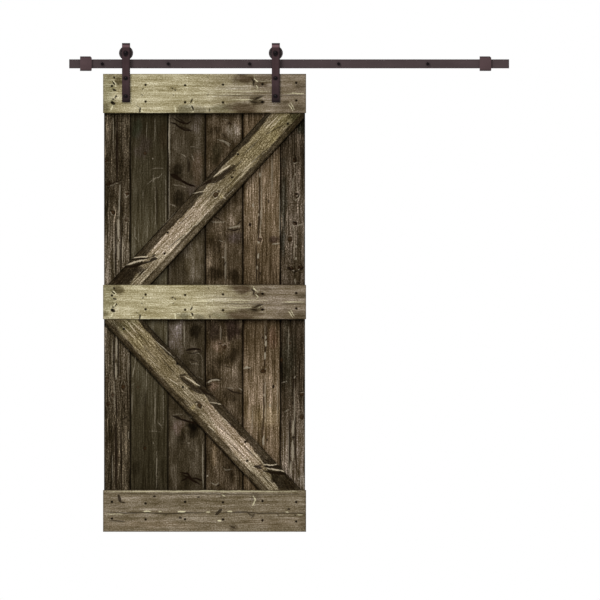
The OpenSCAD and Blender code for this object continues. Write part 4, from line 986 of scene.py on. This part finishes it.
# on the braces, in mm from the foot towards the head and across from the edge that faces up
BRACE_MARKS = {
    "upper_brace": [
        fade((40, -0.35), (130, -0.35), (200, 0.5), (300, 0.35), (420, 0.2), (520, -0.25), (620, -0.3),
             (760, -0.35), (900, -0.2), (1000, -0.3), (1070, -0.7)),
        wash(320, 60, 190, 60, 0.45, (142, 124, 106)), wash(860, 70, 230, 70, 0.55, (122, 109, 74)),
        # split foot
        wash(5, 6, 40, 45, 0.95, (38, 26, 16)), wash(84, 38, 22, 40, 0.9, (36, 25, 16)),
        gleam(6, 0.75, (99, -3), (130, 23), (160, 52)), gleam(7, 0.7, (55, -3), (100, 23), (144, 52)),
        wash(100, 20, 50, 16, 0.6, (92, 76, 54)), crack(5, 0.9, (88, -7), (124, 29), (160, 61)),
        crack(9, 0.9, (43, 3), (87, 35), (130, 59), (151, 76)), patch(60, 50, 50, 25, -0.5),
        crack(12, 0.9, (148, 68), (165, 74), (178, 84)), crack(8, 0.85, (166, 62), (184, 66)),
        gleam(5, 0.7, (177, 74), (183, 91)), gleam(4, 0.6, (131, 85), (38, 81), (11, 78)),
        gleam(4, 0.5, (116, 72), (12, 68)), gleam(4, 0.5, (153, 97), (44, 102)),
        crack(4, 0.6, (122, 80), (45, 74)), gleam(4, 0.4, (388, 1), (297, 1)),
        crack(4, 0.6, (393, 4), (204, 3)), gleam(4, 0.5, (325, 106), (181, 103)),
        gleam(4, 0.5, (348, 107), (226, 88)), crack(4, 0.6, (344, 102), (245, 89)),
        crack(4, 0.5, (390, 113), (247, 110)), crack(3, 0.5, (426, 58), (336, 50)),
        patch(289, 116, 25, 20, 0.2),
        # middle: the long slashes and the ring knot
        gleam(6, 0.9, (625, 19), (670, 28), (716, 40)), gleam(5, 0.5, (500, 0), (530, 20), (552, 38)),
        crack(18, 0.8, (582, 12), (640, 41), (722, 56)), crack(7, 0.95, (600, 24), (650, 42), (706, 52)),
        crack(10, 0.8, (570, 6), (613, 40), (660, 60)), patch(560, 20, 40, 22, 0.9),
        crack(5, 0.8, (552, 6), (590, 14)), wash(655, 40, 60, 14, 0.5, (64, 50, 30)),
        crack(6, 0.8, (720, 45), (728, 61)), crack(6, 0.8, (703, 66), (715, 72)),
        wash(691, 53, 22, 24, 0.6, (88, 74, 58)), knot(570, 82, 12, 10),
        gleam(4, 0.7, (553, 73), (556, 92), (570, 98)), gleam(4, 0.5, (560, 70), (578, 68)),
        crack(6, 0.8, (587, 75), (593, 87)), gleam(7, 0.7, (586, 101), (587, 130)),
        wash(584, 108, 13, 24, 0.8, (158, 144, 106)), patch(563, 134, 17, 20, -0.5),
        patch(496, 98, 43, 50, 0.3), gleam(4, 0.5, (901, 54), (800, 53)),
        crack(4, 0.5, (871, 51), (774, 49)), crack(4, 0.6, (887, 113), (786, 102)),
        gleam(5, 0.6, (840, 106), (720, 99)), gleam(5, 0.5, (781, 112), (652, 107)),
        crack(4, 0.6, (759, 63), (670, 64)), crack(3, 0.5, (737, 102), (621, 95)),
        gleam(4, 0.5, (663, 125), (583, 122)), gleam(4, 0.5, (551, 74), (473, 73)),
        crack(4, 0.5, (601, 69), (533, 64)), gleam(5, 0.6, (463, 111), (400, 112)),
        # green-stained head
        gleam(5, 0.8, (1041, 61), (997, 61), (953, 57)), gleam(4, 0.6, (1030, 49), (947, 44)),
        wash(1034, 90, 42, 73, 0.5, (116, 108, 72)), wash(950, 87, 37, 67, 0.4, (134, 122, 84)),
        crack(4, 0.6, (1008, 91), (927, 62)), crack(3, 0.6, (913, 57), (835, 56)),
        wash(1031, 125, 60, 40, 0.7, (74, 68, 44)), wash(1090, 118, 45, 50, 0.8, (52, 48, 26)),
    ],
    "lower_brace": [
        fade((40, -0.35), (130, -0.4), (200, 0.4), (420, 0.1), (520, -0.4), (620, -0.45), (760, -0.4),
             (900, -0.25), (1000, -0.3), (1070, -0.7)),
        patch(330, 128, 190, 16, -0.45), wash(320, 60, 190, 60, 0.5, (142, 122, 104)),
        wash(860, 70, 230, 70, 0.5, (118, 104, 72)), wash(-7, 11, 40, 42, 0.95, (38, 26, 16)),
        wash(58, 37, 20, 40, 0.88, (38, 27, 17)), gleam(6, 0.75, (138, 45), (111, 25), (92, -4)),
        gleam(7, 0.7, (119, 49), (80, 22), (42, -6)), wash(82, 18, 50, 16, 0.6, (92, 76, 54)),
        crack(5, 0.9, (133, 54), (99, 22), (76, -2)), crack(10, 0.9, (118, 68), (79, 40), (33, 1)),
        patch(45, 50, 50, 25, -0.5), crack(12, 0.9, (130, 66), (147, 74), (160, 84)),
        crack(6, 0.8, (153, 81), (140, 52)), crack(6, 0.7, (147, 27), (133, 18)),
        gleam(4, 0.6, (113, 96), (47, 94), (23, 88)), gleam(4, 0.5, (94, 81), (26, 76)),
        gleam(4, 0.5, (181, 110), (145, 106)), crack(4, 0.6, (103, 86), (54, 82)),
        patch(252, 79, 22, 27, 0.2), gleam(5, 0.8, (442, 112), (417, 109), (395, 110)),
        crack(4, 0.5, (411, 73), (331, 70)), gleam(4, 0.5, (363, 81), (265, 68)),
        crack(4, 0.6, (260, 54), (192, 54)), gleam(4, 0.5, (239, 46), (173, 44)),
        crack(4, 0.5, (304, 91), (214, 88)), gleam(6, 0.9, (675, 35), (634, 26), (592, 15)),
        gleam(5, 0.5, (465, -2), (492, 18), (514, 36)), crack(18, 0.8, (547, 12), (604, 39), (687, 54)),
        crack(7, 0.95, (565, 22), (612, 40), (670, 50)), crack(10, 0.8, (534, 4), (577, 38), (624, 58)),
        patch(525, 20, 40, 22, 0.9), crack(5, 0.8, (516, 4), (554, 12)),
        wash(620, 38, 60, 14, 0.5, (64, 50, 30)), crack(6, 0.8, (694, 51), (675, 24)),
        wash(676, 54, 22, 27, 0.5, (84, 72, 54)), knot(532, 77, 12, 10),
        gleam(4, 0.6, (515, 70), (518, 88), (532, 93)), crack(6, 0.8, (556, 84), (543, 65)),
        wash(546, 104, 13, 22, 0.75, (156, 142, 106)), patch(518, 119, 17, 23, -0.5),
        crack(4, 0.5, (627, 114), (552, 106)), gleam(4, 0.5, (633, 86), (590, 84)),
        gleam(4, 0.6, (885, 24), (824, 17), (760, 12)), gleam(4, 0.5, (861, 101), (772, 93)),
        crack(4, 0.6, (811, 56), (719, 60)), gleam(5, 0.7, (720, 96), (664, 84)),
        crack(4, 0.5, (868, 40), (783, 37)), gleam(5, 0.8, (1036, 54), (992, 60), (955, 59)),
        gleam(4, 0.6, (1026, 43), (934, 36)), gleam(4, 0.5, (1036, 88), (949, 83)),
        wash(1025, 76, 32, 60, 0.55, (110, 104, 72)), wash(1058, 126, 37, 43, 0.7, (72, 66, 50)),
        wash(940, 73, 37, 67, 0.4, (132, 120, 86)), crack(4, 0.6, (973, 60), (901, 55)),
        crack(3, 0.5, (914, 79), (805, 80)),
    ],
}


def brace_bands(u, v):
    """The falling edges of a brace: distance from the edge, width and drop in mm, and change in stops. The
    upper one is wide at the foot, narrows past the middle and runs out before the head."""
    upper = 36 - 14 * eased((u - 430) / 230) + 3 * np.sin(u / 60) + 40 * np.exp(-((u + 20) / 105) ** 2)
    upper = upper * (1 - eased((u - 990) / 60))
    lower = 31 - 7 * eased((u - 430) / 230) + 2 * np.sin(u / 47)
    upper_stops = -0.6 - 0.6 * eased((u - 450) / 200)
    lower_stops = 1.4 - 0.5 * eased((u - 350) / 150) - 0.4 * eased((u - 620) / 260)
    return (v, upper, 5.5, upper_stops), (BRACE_WIDTH - v, lower, 3.5, lower_stops)


def plank_board(number, colours):
    """A tongued and grooved plank, from its top end down."""
    (x0, y0, z0), (x1, y1, z1) = box_mm(f"plank_{number}")
    last = number == PLANKS
    right = x1 if last else box_mm(f"plank_{number + 1}")[0][0]
    stain = getattr(colours, f"plank_{number}")
    return Board(f"plank_{number}_weathered", (x0, z1), (0, -1), (1, 0), right - x0, y0, y1 - y0,
                 straight_ends(z1 - z0), 10 * number, stain, PLANK_MARKS[number])


def rail_board(name, number, stain):
    """A cross rail, from its left end to its right."""
    (x0, y0, z0), (x1, y1, z1) = box_mm(name)
    return Board(f"{name}_weathered", (x0, z1), (1, 0), (0, -1), z1 - z0, y0, y1 - y0,
                 straight_ends(x1 - x0), 100 + 10 * number, stain, RAIL_MARKS[name])


def brace_board(name, number, stain):
    """A brace's strip, from its foot to its head, cut off level at both ends and plumb at the door's edge."""
    (x0, y0, z0), (x1, y1, z1) = box_mm(name)
    panel_x0, panel_x1 = box_mm("plank_1")[0][0], box_mm(f"plank_{PLANKS}")[1][0]
    if name == "upper_brace":
        foot, head = np.array([panel_x0 + BRACE_FOOT_IN, z0]), np.array([panel_x1 - BRACE_HEAD_IN, z1])
    else:
        foot, head = np.array([panel_x1 - BRACE_FOOT_IN, z0]), np.array([panel_x0 + BRACE_HEAD_IN, z1])
    along = (head - foot) / np.hypot(*(head - foot))
    across = np.array([abs(along[1]), -abs(along[0])]) * ([1, 1] if along[0] > 0 else [-1, 1])
    corner = foot - across * BRACE_WIDTH / 2
    edge = panel_x1 if along[0] > 0 else panel_x0

    def ends(v):
        low = (z0 - corner[1] - across[1] * v) / along[1]
        high = (z1 - corner[1] - across[1] * v) / along[1]
        return low, np.minimum(high, (edge - corner[0] - across[0] * v) / along[0])

    board = Board(f"{name}_weathered", corner, along, across, BRACE_WIDTH, y0, y1 - y0, ends,
                  200 + 10 * number, stain, BRACE_MARKS[name])
    board.bands = brace_bands
    board.left_edge = board.right_edge = (2.4, 3.0)
    return board


def kink(board):
    """Where the plumb cut at the door's edge meets a brace's level end."""
    v = np.linspace(0, board.width, 2001)
    low, high = board.ends(v)
    bend = np.abs(np.diff(high, 2))
    return [v[np.argmax(bend) + 1]] if bend.max() > 1e-3 else []


def build_board(board, node, along_step, sizes, colours, materials, hidden=()):
    """Makes a board's mesh and puts it in place of its CAD node."""
    low, high = board.ends(np.array([board.width / 2]))
    long = float(high[0] - low[0])
    t_spots = []
    for u, v in board.screws:
        a, b = board.ends(np.array([v]))
        t_spots.append(float((u - a[0]) / (b[0] - a[0]) * long))
    t_lines = spread(0, long, along_step / MM, t_spots, WEAR_LINES, hidden) / long
    near_end = np.array(END_LINES) / long
    t_lines = np.unique(np.concatenate([t_lines, near_end, 1 - near_end]))
    inset_left, inset_right = (edge[0] * 1.4 + 0.4 for edge in (board.left_edge, board.right_edge))
    v_lines = spread(inset_left, board.width - inset_right, sizes.across_step / MM,
                     [s[1] for s in board.screws] + kink(board), WEAR_LINES)
    mesh = board_mesh(board, t_lines, v_lines, sizes, colours)
    add_piece(board.name, mesh, "door", materials, [node])


# ---- Hardware ----

def eased_copy(node, width, body, materials):
    """A copy of a steel part with its sharp edges eased and slightly rubbed."""
    bm = bmesh.new()
    bm.from_mesh(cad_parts[node].data)
    bmesh.ops.remove_doubles(bm, verts=bm.verts, dist=2e-6)
    bmesh.ops.dissolve_limit(bm, angle_limit=math.radians(0.6), verts=bm.verts, edges=bm.edges)
    sharp = [e for e in bm.edges if len(e.link_faces) == 2 and e.calc_face_angle() > math.radians(32)]
    bmesh.ops.bevel(bm, geom=sharp, offset=width, segments=2, profile=0.6, affect="EDGES", material=1,
                    clamp_overlap=True)
    bmesh.ops.triangulate(bm, faces=[f for f in bm.faces if len(f.verts) > 4])
    mesh = bpy.data.meshes.new(f"{node}_eased")
    bm.to_mesh(mesh)
    bm.free()
    if "custom_normal" in mesh.attributes:
        mesh.attributes.remove(mesh.attributes["custom_normal"])
    mesh.shade_smooth()
    mesh.set_sharp_from_angle(angle=math.radians(28))
    add_piece(f"{node}_eased", mesh, body, materials, [node])


def lag_radius(y, turn, plan):
    """Radius of a wall bolt at a depth y behind its head's face, by the turn round its axis, in mm."""
    flat = plan["head_w"] / 2 / math.cos((turn + math.pi / 6) % (math.pi / 3) - math.pi / 6)
    if y <= plan["head_h"]:
        return min(flat, plan["head_w"] / 2 * 0.9 + y * 1.6)
    if y < plan["thread_from"]:
        return plan["shank_r"]
    wave = (y / plan["pitch"] - turn / math.tau) % 1
    deep = plan["thread_r"] * 0.26 * min(1, (y - plan["thread_from"]) / plan["pitch"])
    point = min(1, (plan["long"] - y) / plan["point"]) if y > plan["thread_from"] else 1
    return max(0.25, (plan["thread_r"] - deep * abs(2 * wave - 1) ** 0.7) * point)


def lag_bolt(number, sizes, materials):
    """A hexagon-headed wall bolt with a cut thread and a point."""
    node = f"wall_bolt_{number}"
    (x0, y0, z0), (x1, y1, z1) = box_mm(node)
    x, z = (x0 + x1) / 2, (z0 + z1) / 2
    plan = {"head_w": LAG_HEAD_W, "head_h": LAG_HEAD_H, "shank_r": LAG_SHANK_R, "thread_r": LAG_THREAD_R,
            "point": LAG_POINT, "long": y1 - y0, "thread_from": y1 - y0 - LAG_THREAD_L - LAG_POINT,
            "pitch": sizes.thread_pitch / MM}
    step_width = 0.01
    depths = [0, 0.4, 0.9, plan["head_h"], plan["head_h"] + step_width, plan["thread_from"] - step_width]
    depths += list(np.arange(plan["thread_from"], plan["long"] - 0.2, 0.5)) + [plan["long"]]
    turns = np.arange(36) * math.tau / 36
    points = []
    for depth in depths:
        for turn in turns:
            radius = lag_radius(depth, turn, plan)
            points.append((x + radius * math.cos(turn), y0 + depth, z + radius * math.sin(turn)))
    mesh = sheet_mesh(f"{node}_threaded", np.array(points) * MM, len(depths), len(turns))
    mesh.polygons[-1].material_index = mesh.polygons[-2].material_index = 0
    mesh.set_sharp_from_angle(angle=math.radians(30))
    add_piece(f"{node}_threaded", mesh, "track", materials, [node])


# ---- Operators ----

class BarnDoorStep(bpy.types.Operator):
    """Shared by every step of the door."""
    bl_options = {"REGISTER", "UNDO"}

    @property
    def sizes(self):
        return bpy.context.scene.barn_door_sizes

    @property
    def colours(self):
        return bpy.context.scene.barn_door_colours


class BARNDOOR_OT_planks(BarnDoorStep):
    """Builds the six weathered planks"""
    bl_idname = "barn_door.planks"
    bl_label = "Planks"

    def execute(self, context):
        c, s = self.colours, self.sizes
        knotty = wood_finish("plank_wood_knotty", c, paint(140, 130, 112), 1.6, 2.6, 2.4, 6.2, 6.0)
        finish = wood_finish("plank_wood_weathered", c, paint(140, 130, 112), 2.6, 4.8, 2.8, 3.4, 6.5)
        sawn = end_grain("plank_end_grain", paint(78, 68, 53))
        covers = [(-box_mm(r)[1][2], -box_mm(r)[0][2]) for r in RAILS]
        for number in range(1, PLANKS + 1):
            board = plank_board(number, c)
            top = -board.corner[1]
            hidden = [(max(a - top, 0) + FINE_BEHIND, b - top - FINE_BEHIND) for a, b in covers]
            board.slot, board.contrast = "plank_wood", PLANK_CONTRAST[number - 1]
            inner = (s.joint_width / MM, s.joint_depth / MM)
            middle, half = board.thick / 2, TONGUE_THICK / 2
            if number > 1:
                open_half = half + TONGUE_PLAY / 2
                board.left_edge = inner
                board.groove = (TONGUE_DEEP + TONGUE_PLAY, middle - open_half, middle + open_half)
            if number < PLANKS:
                board.right_edge = inner
                board.tongue = (TONGUE_DEEP, middle - half, middle + half)
            board.grime = plank_grime(board, covers, top)
            board.joints = list(zip((0, board.width), EDGE_DARKENING[number - 1:number + 1]))
            face = knotty if number in KNOTTY_PLANKS else finish
            build_board(board, f"plank_{number}", s.plank_step, s, c, (face, sawn), hidden)
        return {"FINISHED"}


def below(edge, start=0):
    """Distance below a rail's lower edge, counted from a little way down, and far off anywhere else."""
    return lambda u, v: np.where(u > edge, u - edge - start, FAR_OFF)


def above(edge):
    """Distance above a rail's upper edge, and far off anywhere else."""
    return lambda u, v: np.where(u < edge, edge - u, FAR_OFF)


def under_brace(board, brace):
    """Distance from a brace's lower edge to places under it on a plank, and far off anywhere else."""
    def gap(u, v):
        place = (board.corner + u[..., None] * board.along + v[..., None] * board.across) - brace.corner
        s, t = place @ brace.along, place @ brace.across
        low, high = brace.ends(np.clip(t, 0, brace.width))
        under = (t > brace.width) & (s > low - 10) & (s < high + 10)
        return np.where(under, t - brace.width - SHADE_START, FAR_OFF)

    return gap


def plank_grime(board, covers, top):
    """Painted shadow under the rails and the braces, and painted shade just above each rail: its distance,
    its reach in mm and its depth in stops.
    """
    found = []
    for low, high in covers:
        # painted shadow under each rail, darkest just below its edge, and painted shade just above it
        found.append((below(high - top), 9.0, 1.2))
        found.append((below(high - top, SHADE_START), 2.5, 3.0))
        found.append((above(low - top), 3.0, 0.8))
    # painted shadow under each brace's lower edge
    for name in BRACES:
        found.append((under_brace(board, brace_board(name, 0, (0, 0, 0))), 1.8, 4.5))
    return found


class BARNDOOR_OT_rails(BarnDoorStep):
    """Builds the three cross rails"""
    bl_idname = "barn_door.rails"
    bl_label = "Cross rails"

    def execute(self, context):
        c, s = self.colours, self.sizes
        finish = wood_finish("rail_wood_weathered", c, paint(208, 200, 166), 1.3, 1.5, 1.2, 2.2, 3.2)
        sawn = end_grain("rail_end_grain", paint(112, 102, 82))
        for number, name in enumerate(RAILS):
            stain = c.bottom_rail if name == "bottom_rail" else c.rail
            board = rail_board(name, number, stain)
            board.slot = "cross_rail_wood"
            board.screws = [board.local(*p) for p in screw_places(f"{name}_screws")]
            board.contrast = 1.45 if name == "bottom_rail" else 1.25
            if name != "bottom_rail":
                board.end_stain, board.turn = tuple(c.rail_brown), RAIL_TURN
            long = board.ends(0)[1]
            # painted shade along the rail's four edges, darkest along its lower edge
            board.grime = [(lambda u, v: v, 2.2, 1.3), (lambda u, v, w=board.width: w - v, 2.2, 1.9),
                           (lambda u, v: u, 2.5, 1.2), (lambda u, v, e=long: e - u, 2.5, 1.2)]
            build_board(board, name, s.rail_step, s, c, (finish, sawn))
        return {"FINISHED"}


class BARNDOOR_OT_braces(BarnDoorStep):
    """Builds the two braces with their falling, dark-stained edges"""
    bl_idname = "barn_door.braces"
    bl_label = "Braces"

    def execute(self, context):
        c, s = self.colours, self.sizes
        finish = wood_finish("brace_wood_weathered", c, paint(196, 182, 156), 1.3, 3.6, 4.0, 3.0, 8.5)
        sawn = end_grain("brace_end_grain", paint(96, 84, 66))
        for number, name in enumerate(BRACES):
            board = brace_board(name, number, c.brace)
            board.slot = "brace_wood"
            board.screws = [board.local(*p) for p in screw_places(f"{name}_screws")]
            # painted shade along the brace's two long edges, darkest along the lower one, and at its head
            # where it meets the rail
            board.grime = [(lambda u, v: v, 1.6, 2.4), (lambda u, v: BRACE_WIDTH - v, 2.2, 4.0),
                           (lambda u, v, b=board: b.ends(v)[1] - u, 3.0, 3.5)]
            build_board(board, name, s.rail_step, s, c, (finish, sawn))
        return {"FINISHED"}


def side_rims(box, axes, reach, stops):
    """Rims at both sides of a box, in metres."""
    return [(axis, side[axis] * MM, reach * MM, stops) for axis in axes for side in box]


class BARNDOOR_OT_track(BarnDoorStep):
    """Finishes the track, its stops and its wall bolts"""
    bl_idname = "barn_door.track"
    bl_label = "Track"

    def execute(self, context):
        c, s = self.colours, self.sizes
        shade = tuple(c.coating)
        bolts = [centre_mm(f"wall_bolt_{n}") for n in range(1, WALL_BOLTS + 1)]
        # painted shade along the bar's top, bottom and ends, and round each wall bolt's head
        bar_rims = side_rims(box_mm("track_bar"), (0, 2), 4.5, -0.8)
        bar = coated_steel("track_coating", shade, 0.52, 0.2, bar_rims,
                           [(at[0] * MM, at[2] * MM, 7.5 * MM) for at in bolts])
        plain = coated_steel("spacer_coating", shade, 0.52, 0.2)
        lighter = [1.32 * shade[0], 1.14 * shade[1], 1.17 * shade[2]]
        # painted shade along the stops' top and bottom
        level_rims = side_rims(box_mm("left_end_stop"), (2,), 7.0, -1.2)
        block = coated_steel("stop_coating", lighter, 0.5, 0.25, level_rims)
        rubbed = coated_steel("stop_coating_rubbed", shade, 0.42, 0.5)
        black = coated_steel("bolt_blacking", tuple(c.bolt), 0.5, 0.1, gleam=0.1)
        give(bar, ["track_bar"])
        give(plain, [f"wall_{part}_{n}" for part in ("spacer", "washer") for n in range(1, WALL_BOLTS + 1)])
        give(black, [f"{side}_stop_set_screws" for side in SIDES])
        for side in SIDES:
            eased_copy(f"{side}_end_stop", s.steel_bevel, "track", (block, rubbed))
        for number in range(1, WALL_BOLTS + 1):
            lag_bolt(number, s, (black,))
        return {"FINISHED"}


class BARNDOOR_OT_hangers(BarnDoorStep):
    """Finishes the hanger straps, their bolts and the wood screws"""
    bl_idname = "barn_door.hangers"
    bl_label = "Hangers"

    def execute(self, context):
        c, s = self.colours, self.sizes
        black = coated_steel("hanger_bolt_blacking", tuple(c.bolt), 0.35, 0.1, gleam=0.12)
        screws = coated_steel("wood_screw_blacking", tuple(c.screw), 0.7, 0.0, gleam=0.04)
        zinc = plated("zinc_plate", tuple(c.zinc), 0.36)
        for side in SIDES:
            low, high = box_mm(f"{side}_hanger_strap")
            # painted shade along the top of the strap's bend with a painted highlight just below it, darker
            # towards the bottom, and painted shade along its right side and a little along its left
            rims = [(2, (high[2] - 1) * MM, 7 * MM, -1.6), (2, (high[2] - 14) * MM, 8 * MM, 1.6),
                    (2, low[2] * MM, 70 * MM, -0.7), (2, low[2] * MM, 18 * MM, -1.4),
                    (0, high[0] * MM, 6 * MM, -1.0), (0, low[0] * MM, 3 * MM, -0.6)]
            heads = screw_places(f"{side}_strap_bolts") + screw_places(f"{side}_axle")
            # painted shade round each bolt head
            spots = [(x * MM, z * MM, 8 * MM) for x, z in heads]
            darker = [0.86 * part for part in c.strap]
            coat = coated_steel(f"{side}_strap_coating", darker, 0.45, 0.1, rims, spots, gleam=0.1)
            rubbed = coated_steel(f"{side}_strap_coating_rubbed", tuple(c.strap), 0.38, 0.35, rims, spots,
                                  gleam=0.1)
            eased_copy(f"{side}_hanger_strap", s.steel_bevel, "door", (coat, rubbed))
            give(black, [f"{side}_strap_bolts", f"{side}_axle"])
            give(zinc, [f"{side}_{n}" for n in ("strap_washers", "strap_nuts", "axle_nut", "axle_sleeves")])
        give(screws, [f"{name}_screws" for name in RAILS + BRACES])
        return {"FINISHED"}


class BARNDOOR_OT_wheels(BarnDoorStep):
    """Finishes the wheels and their ball bearings"""
    bl_idname = "barn_door.wheels"
    bl_label = "Wheels"

    def execute(self, context):
        c = self.colours
        nylon = moulded_nylon("wheel_nylon_moulded", tuple(c.nylon))
        steel = plated("bearing_steel_polished", tuple(c.steel), 0.24, 2600.0)
        for side in SIDES:
            give(nylon, [f"{side}_wheel"])
            give(steel, [f"{side}_bearing_{n}" for n in ("outer_ring", "balls", "inner_ring")])
        return {"FINISHED"}


def give(material, nodes):
    """Gives CAD parts a finish."""
    for name in nodes:
        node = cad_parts[name]
        node.data.materials.clear()
        node.data.materials.append(material)


def pale_floor(scene):
    """A plain floor a little below the hanging door."""
    half, z = FLOOR_HALF, cad_box[0][2] - FLOOR_GAP
    corners = [(-half, -half, z), (half, -half, z), (half, half, z), (-half, half, z)]
    mesh = bpy.data.meshes.new("pale_floor")
    mesh.from_pydata(corners, [], [(0, 1, 2, 3)])
    floor = bpy.data.objects.new("pale_floor", mesh)
    scene.collection.objects.link(floor)
    f = Finish("pale_floor")
    cloud = f.noise(f.add("ShaderNodeTexCoord", output="Object"), scale=2.0, detail=3.0)
    base = f.scaled((0.86, 0.86, 0.85), cloud * 0.05 + 1.0)
    mesh.materials.append(f.shaded(base, (cloud * 0.1 + 0.8).held(), None))


def soft_light(scene):
    """A dim white surround, which is full white where it is seen, and one soft light from the upper left."""
    world = bpy.data.worlds.new("studio")
    scene.world = world
    world.use_nodes = True
    tree = world.node_tree
    tree.nodes.clear()
    out = tree.nodes.new("ShaderNodeOutputWorld")
    both = tree.nodes.new("ShaderNodeMixShader")
    seen = tree.nodes.new("ShaderNodeLightPath")
    for socket, strength in ((1, AMBIENT), (2, 1.0)):
        light = tree.nodes.new("ShaderNodeBackground")
        light.inputs["Color"].default_value = (1, 1, 1, 1)
        light.inputs["Strength"].default_value = strength
        tree.links.new(light.outputs[0], both.inputs[socket])
    tree.links.new(seen.outputs["Is Camera Ray"], both.inputs[0])
    tree.links.new(both.outputs[0], out.inputs["Surface"])
    sun = bpy.data.lights.new("soft_key", "SUN")
    sun.energy, sun.angle = KEY_LIGHT, math.radians(KEY_SPREAD)
    lamp = bpy.data.objects.new("soft_key", sun)
    lamp.rotation_euler = Vector(KEY_FROM).to_track_quat("Z", "Y").to_euler()
    scene.collection.objects.link(lamp)


def front_camera(scene):
    """Looks straight at the door's face, without perspective."""
    lens = bpy.data.cameras.new("camera")
    lens.type, lens.ortho_scale, lens.clip_end = "ORTHO", VIEW_WIDTH, 30
    camera = bpy.data.objects.new("camera", lens)
    camera.location = (VIEW_CENTRE[0], -VIEW_FROM, VIEW_CENTRE[1])
    camera.rotation_euler = (math.radians(90), 0, 0)
    scene.collection.objects.link(camera)
    scene.camera = camera
    scene.view_settings.view_transform = "Standard"


class BARNDOOR_OT_stage(BarnDoorStep):
    """Sets the pale floor, the soft light and the camera"""
    bl_idname = "barn_door.stage"
    bl_label = "Stage"

    def execute(self, context):
        for part in (pale_floor, soft_light, front_camera):
            part(bpy.context.scene)
        return {"FINISHED"}


STEPS = (BARNDOOR_OT_planks, BARNDOOR_OT_rails, BARNDOOR_OT_braces, BARNDOOR_OT_track, BARNDOOR_OT_hangers,
         BARNDOOR_OT_wheels, BARNDOOR_OT_stage)


class BARNDOOR_PT_panel(bpy.types.Panel):
    """The door's sizes, colours and steps"""
    bl_label = "Barn door"
    bl_idname = "BARNDOOR_PT_panel"
    bl_space_type = "VIEW_3D"
    bl_region_type = "UI"
    bl_category = "Barn door"

    def draw(self, context):
        for step in STEPS:
            self.layout.operator(step.bl_idname)
        for group in (context.scene.barn_door_sizes, context.scene.barn_door_colours):
            box = self.layout.box()
            for name in group.__annotations__:
                box.prop(group, name)


CLASSES = (BarnDoorSizes, BarnDoorColours, *STEPS, BARNDOOR_PT_panel)


def register():
    for cls in CLASSES:
        bpy.utils.register_class(cls)
    bpy.types.Scene.barn_door_sizes = PointerProperty(type=BarnDoorSizes)
    bpy.types.Scene.barn_door_colours = PointerProperty(type=BarnDoorColours)


def unregister():
    del bpy.types.Scene.barn_door_colours
    del bpy.types.Scene.barn_door_sizes
    for cls in reversed(CLASSES):
        bpy.utils.unregister_class(cls)


def main():
    """Builds the whole door."""
    register()
    for step in STEPS:
        group, name = step.bl_idname.split(".")
        getattr(getattr(bpy.ops, group), name)()


if __name__ == "__main__":
    main()
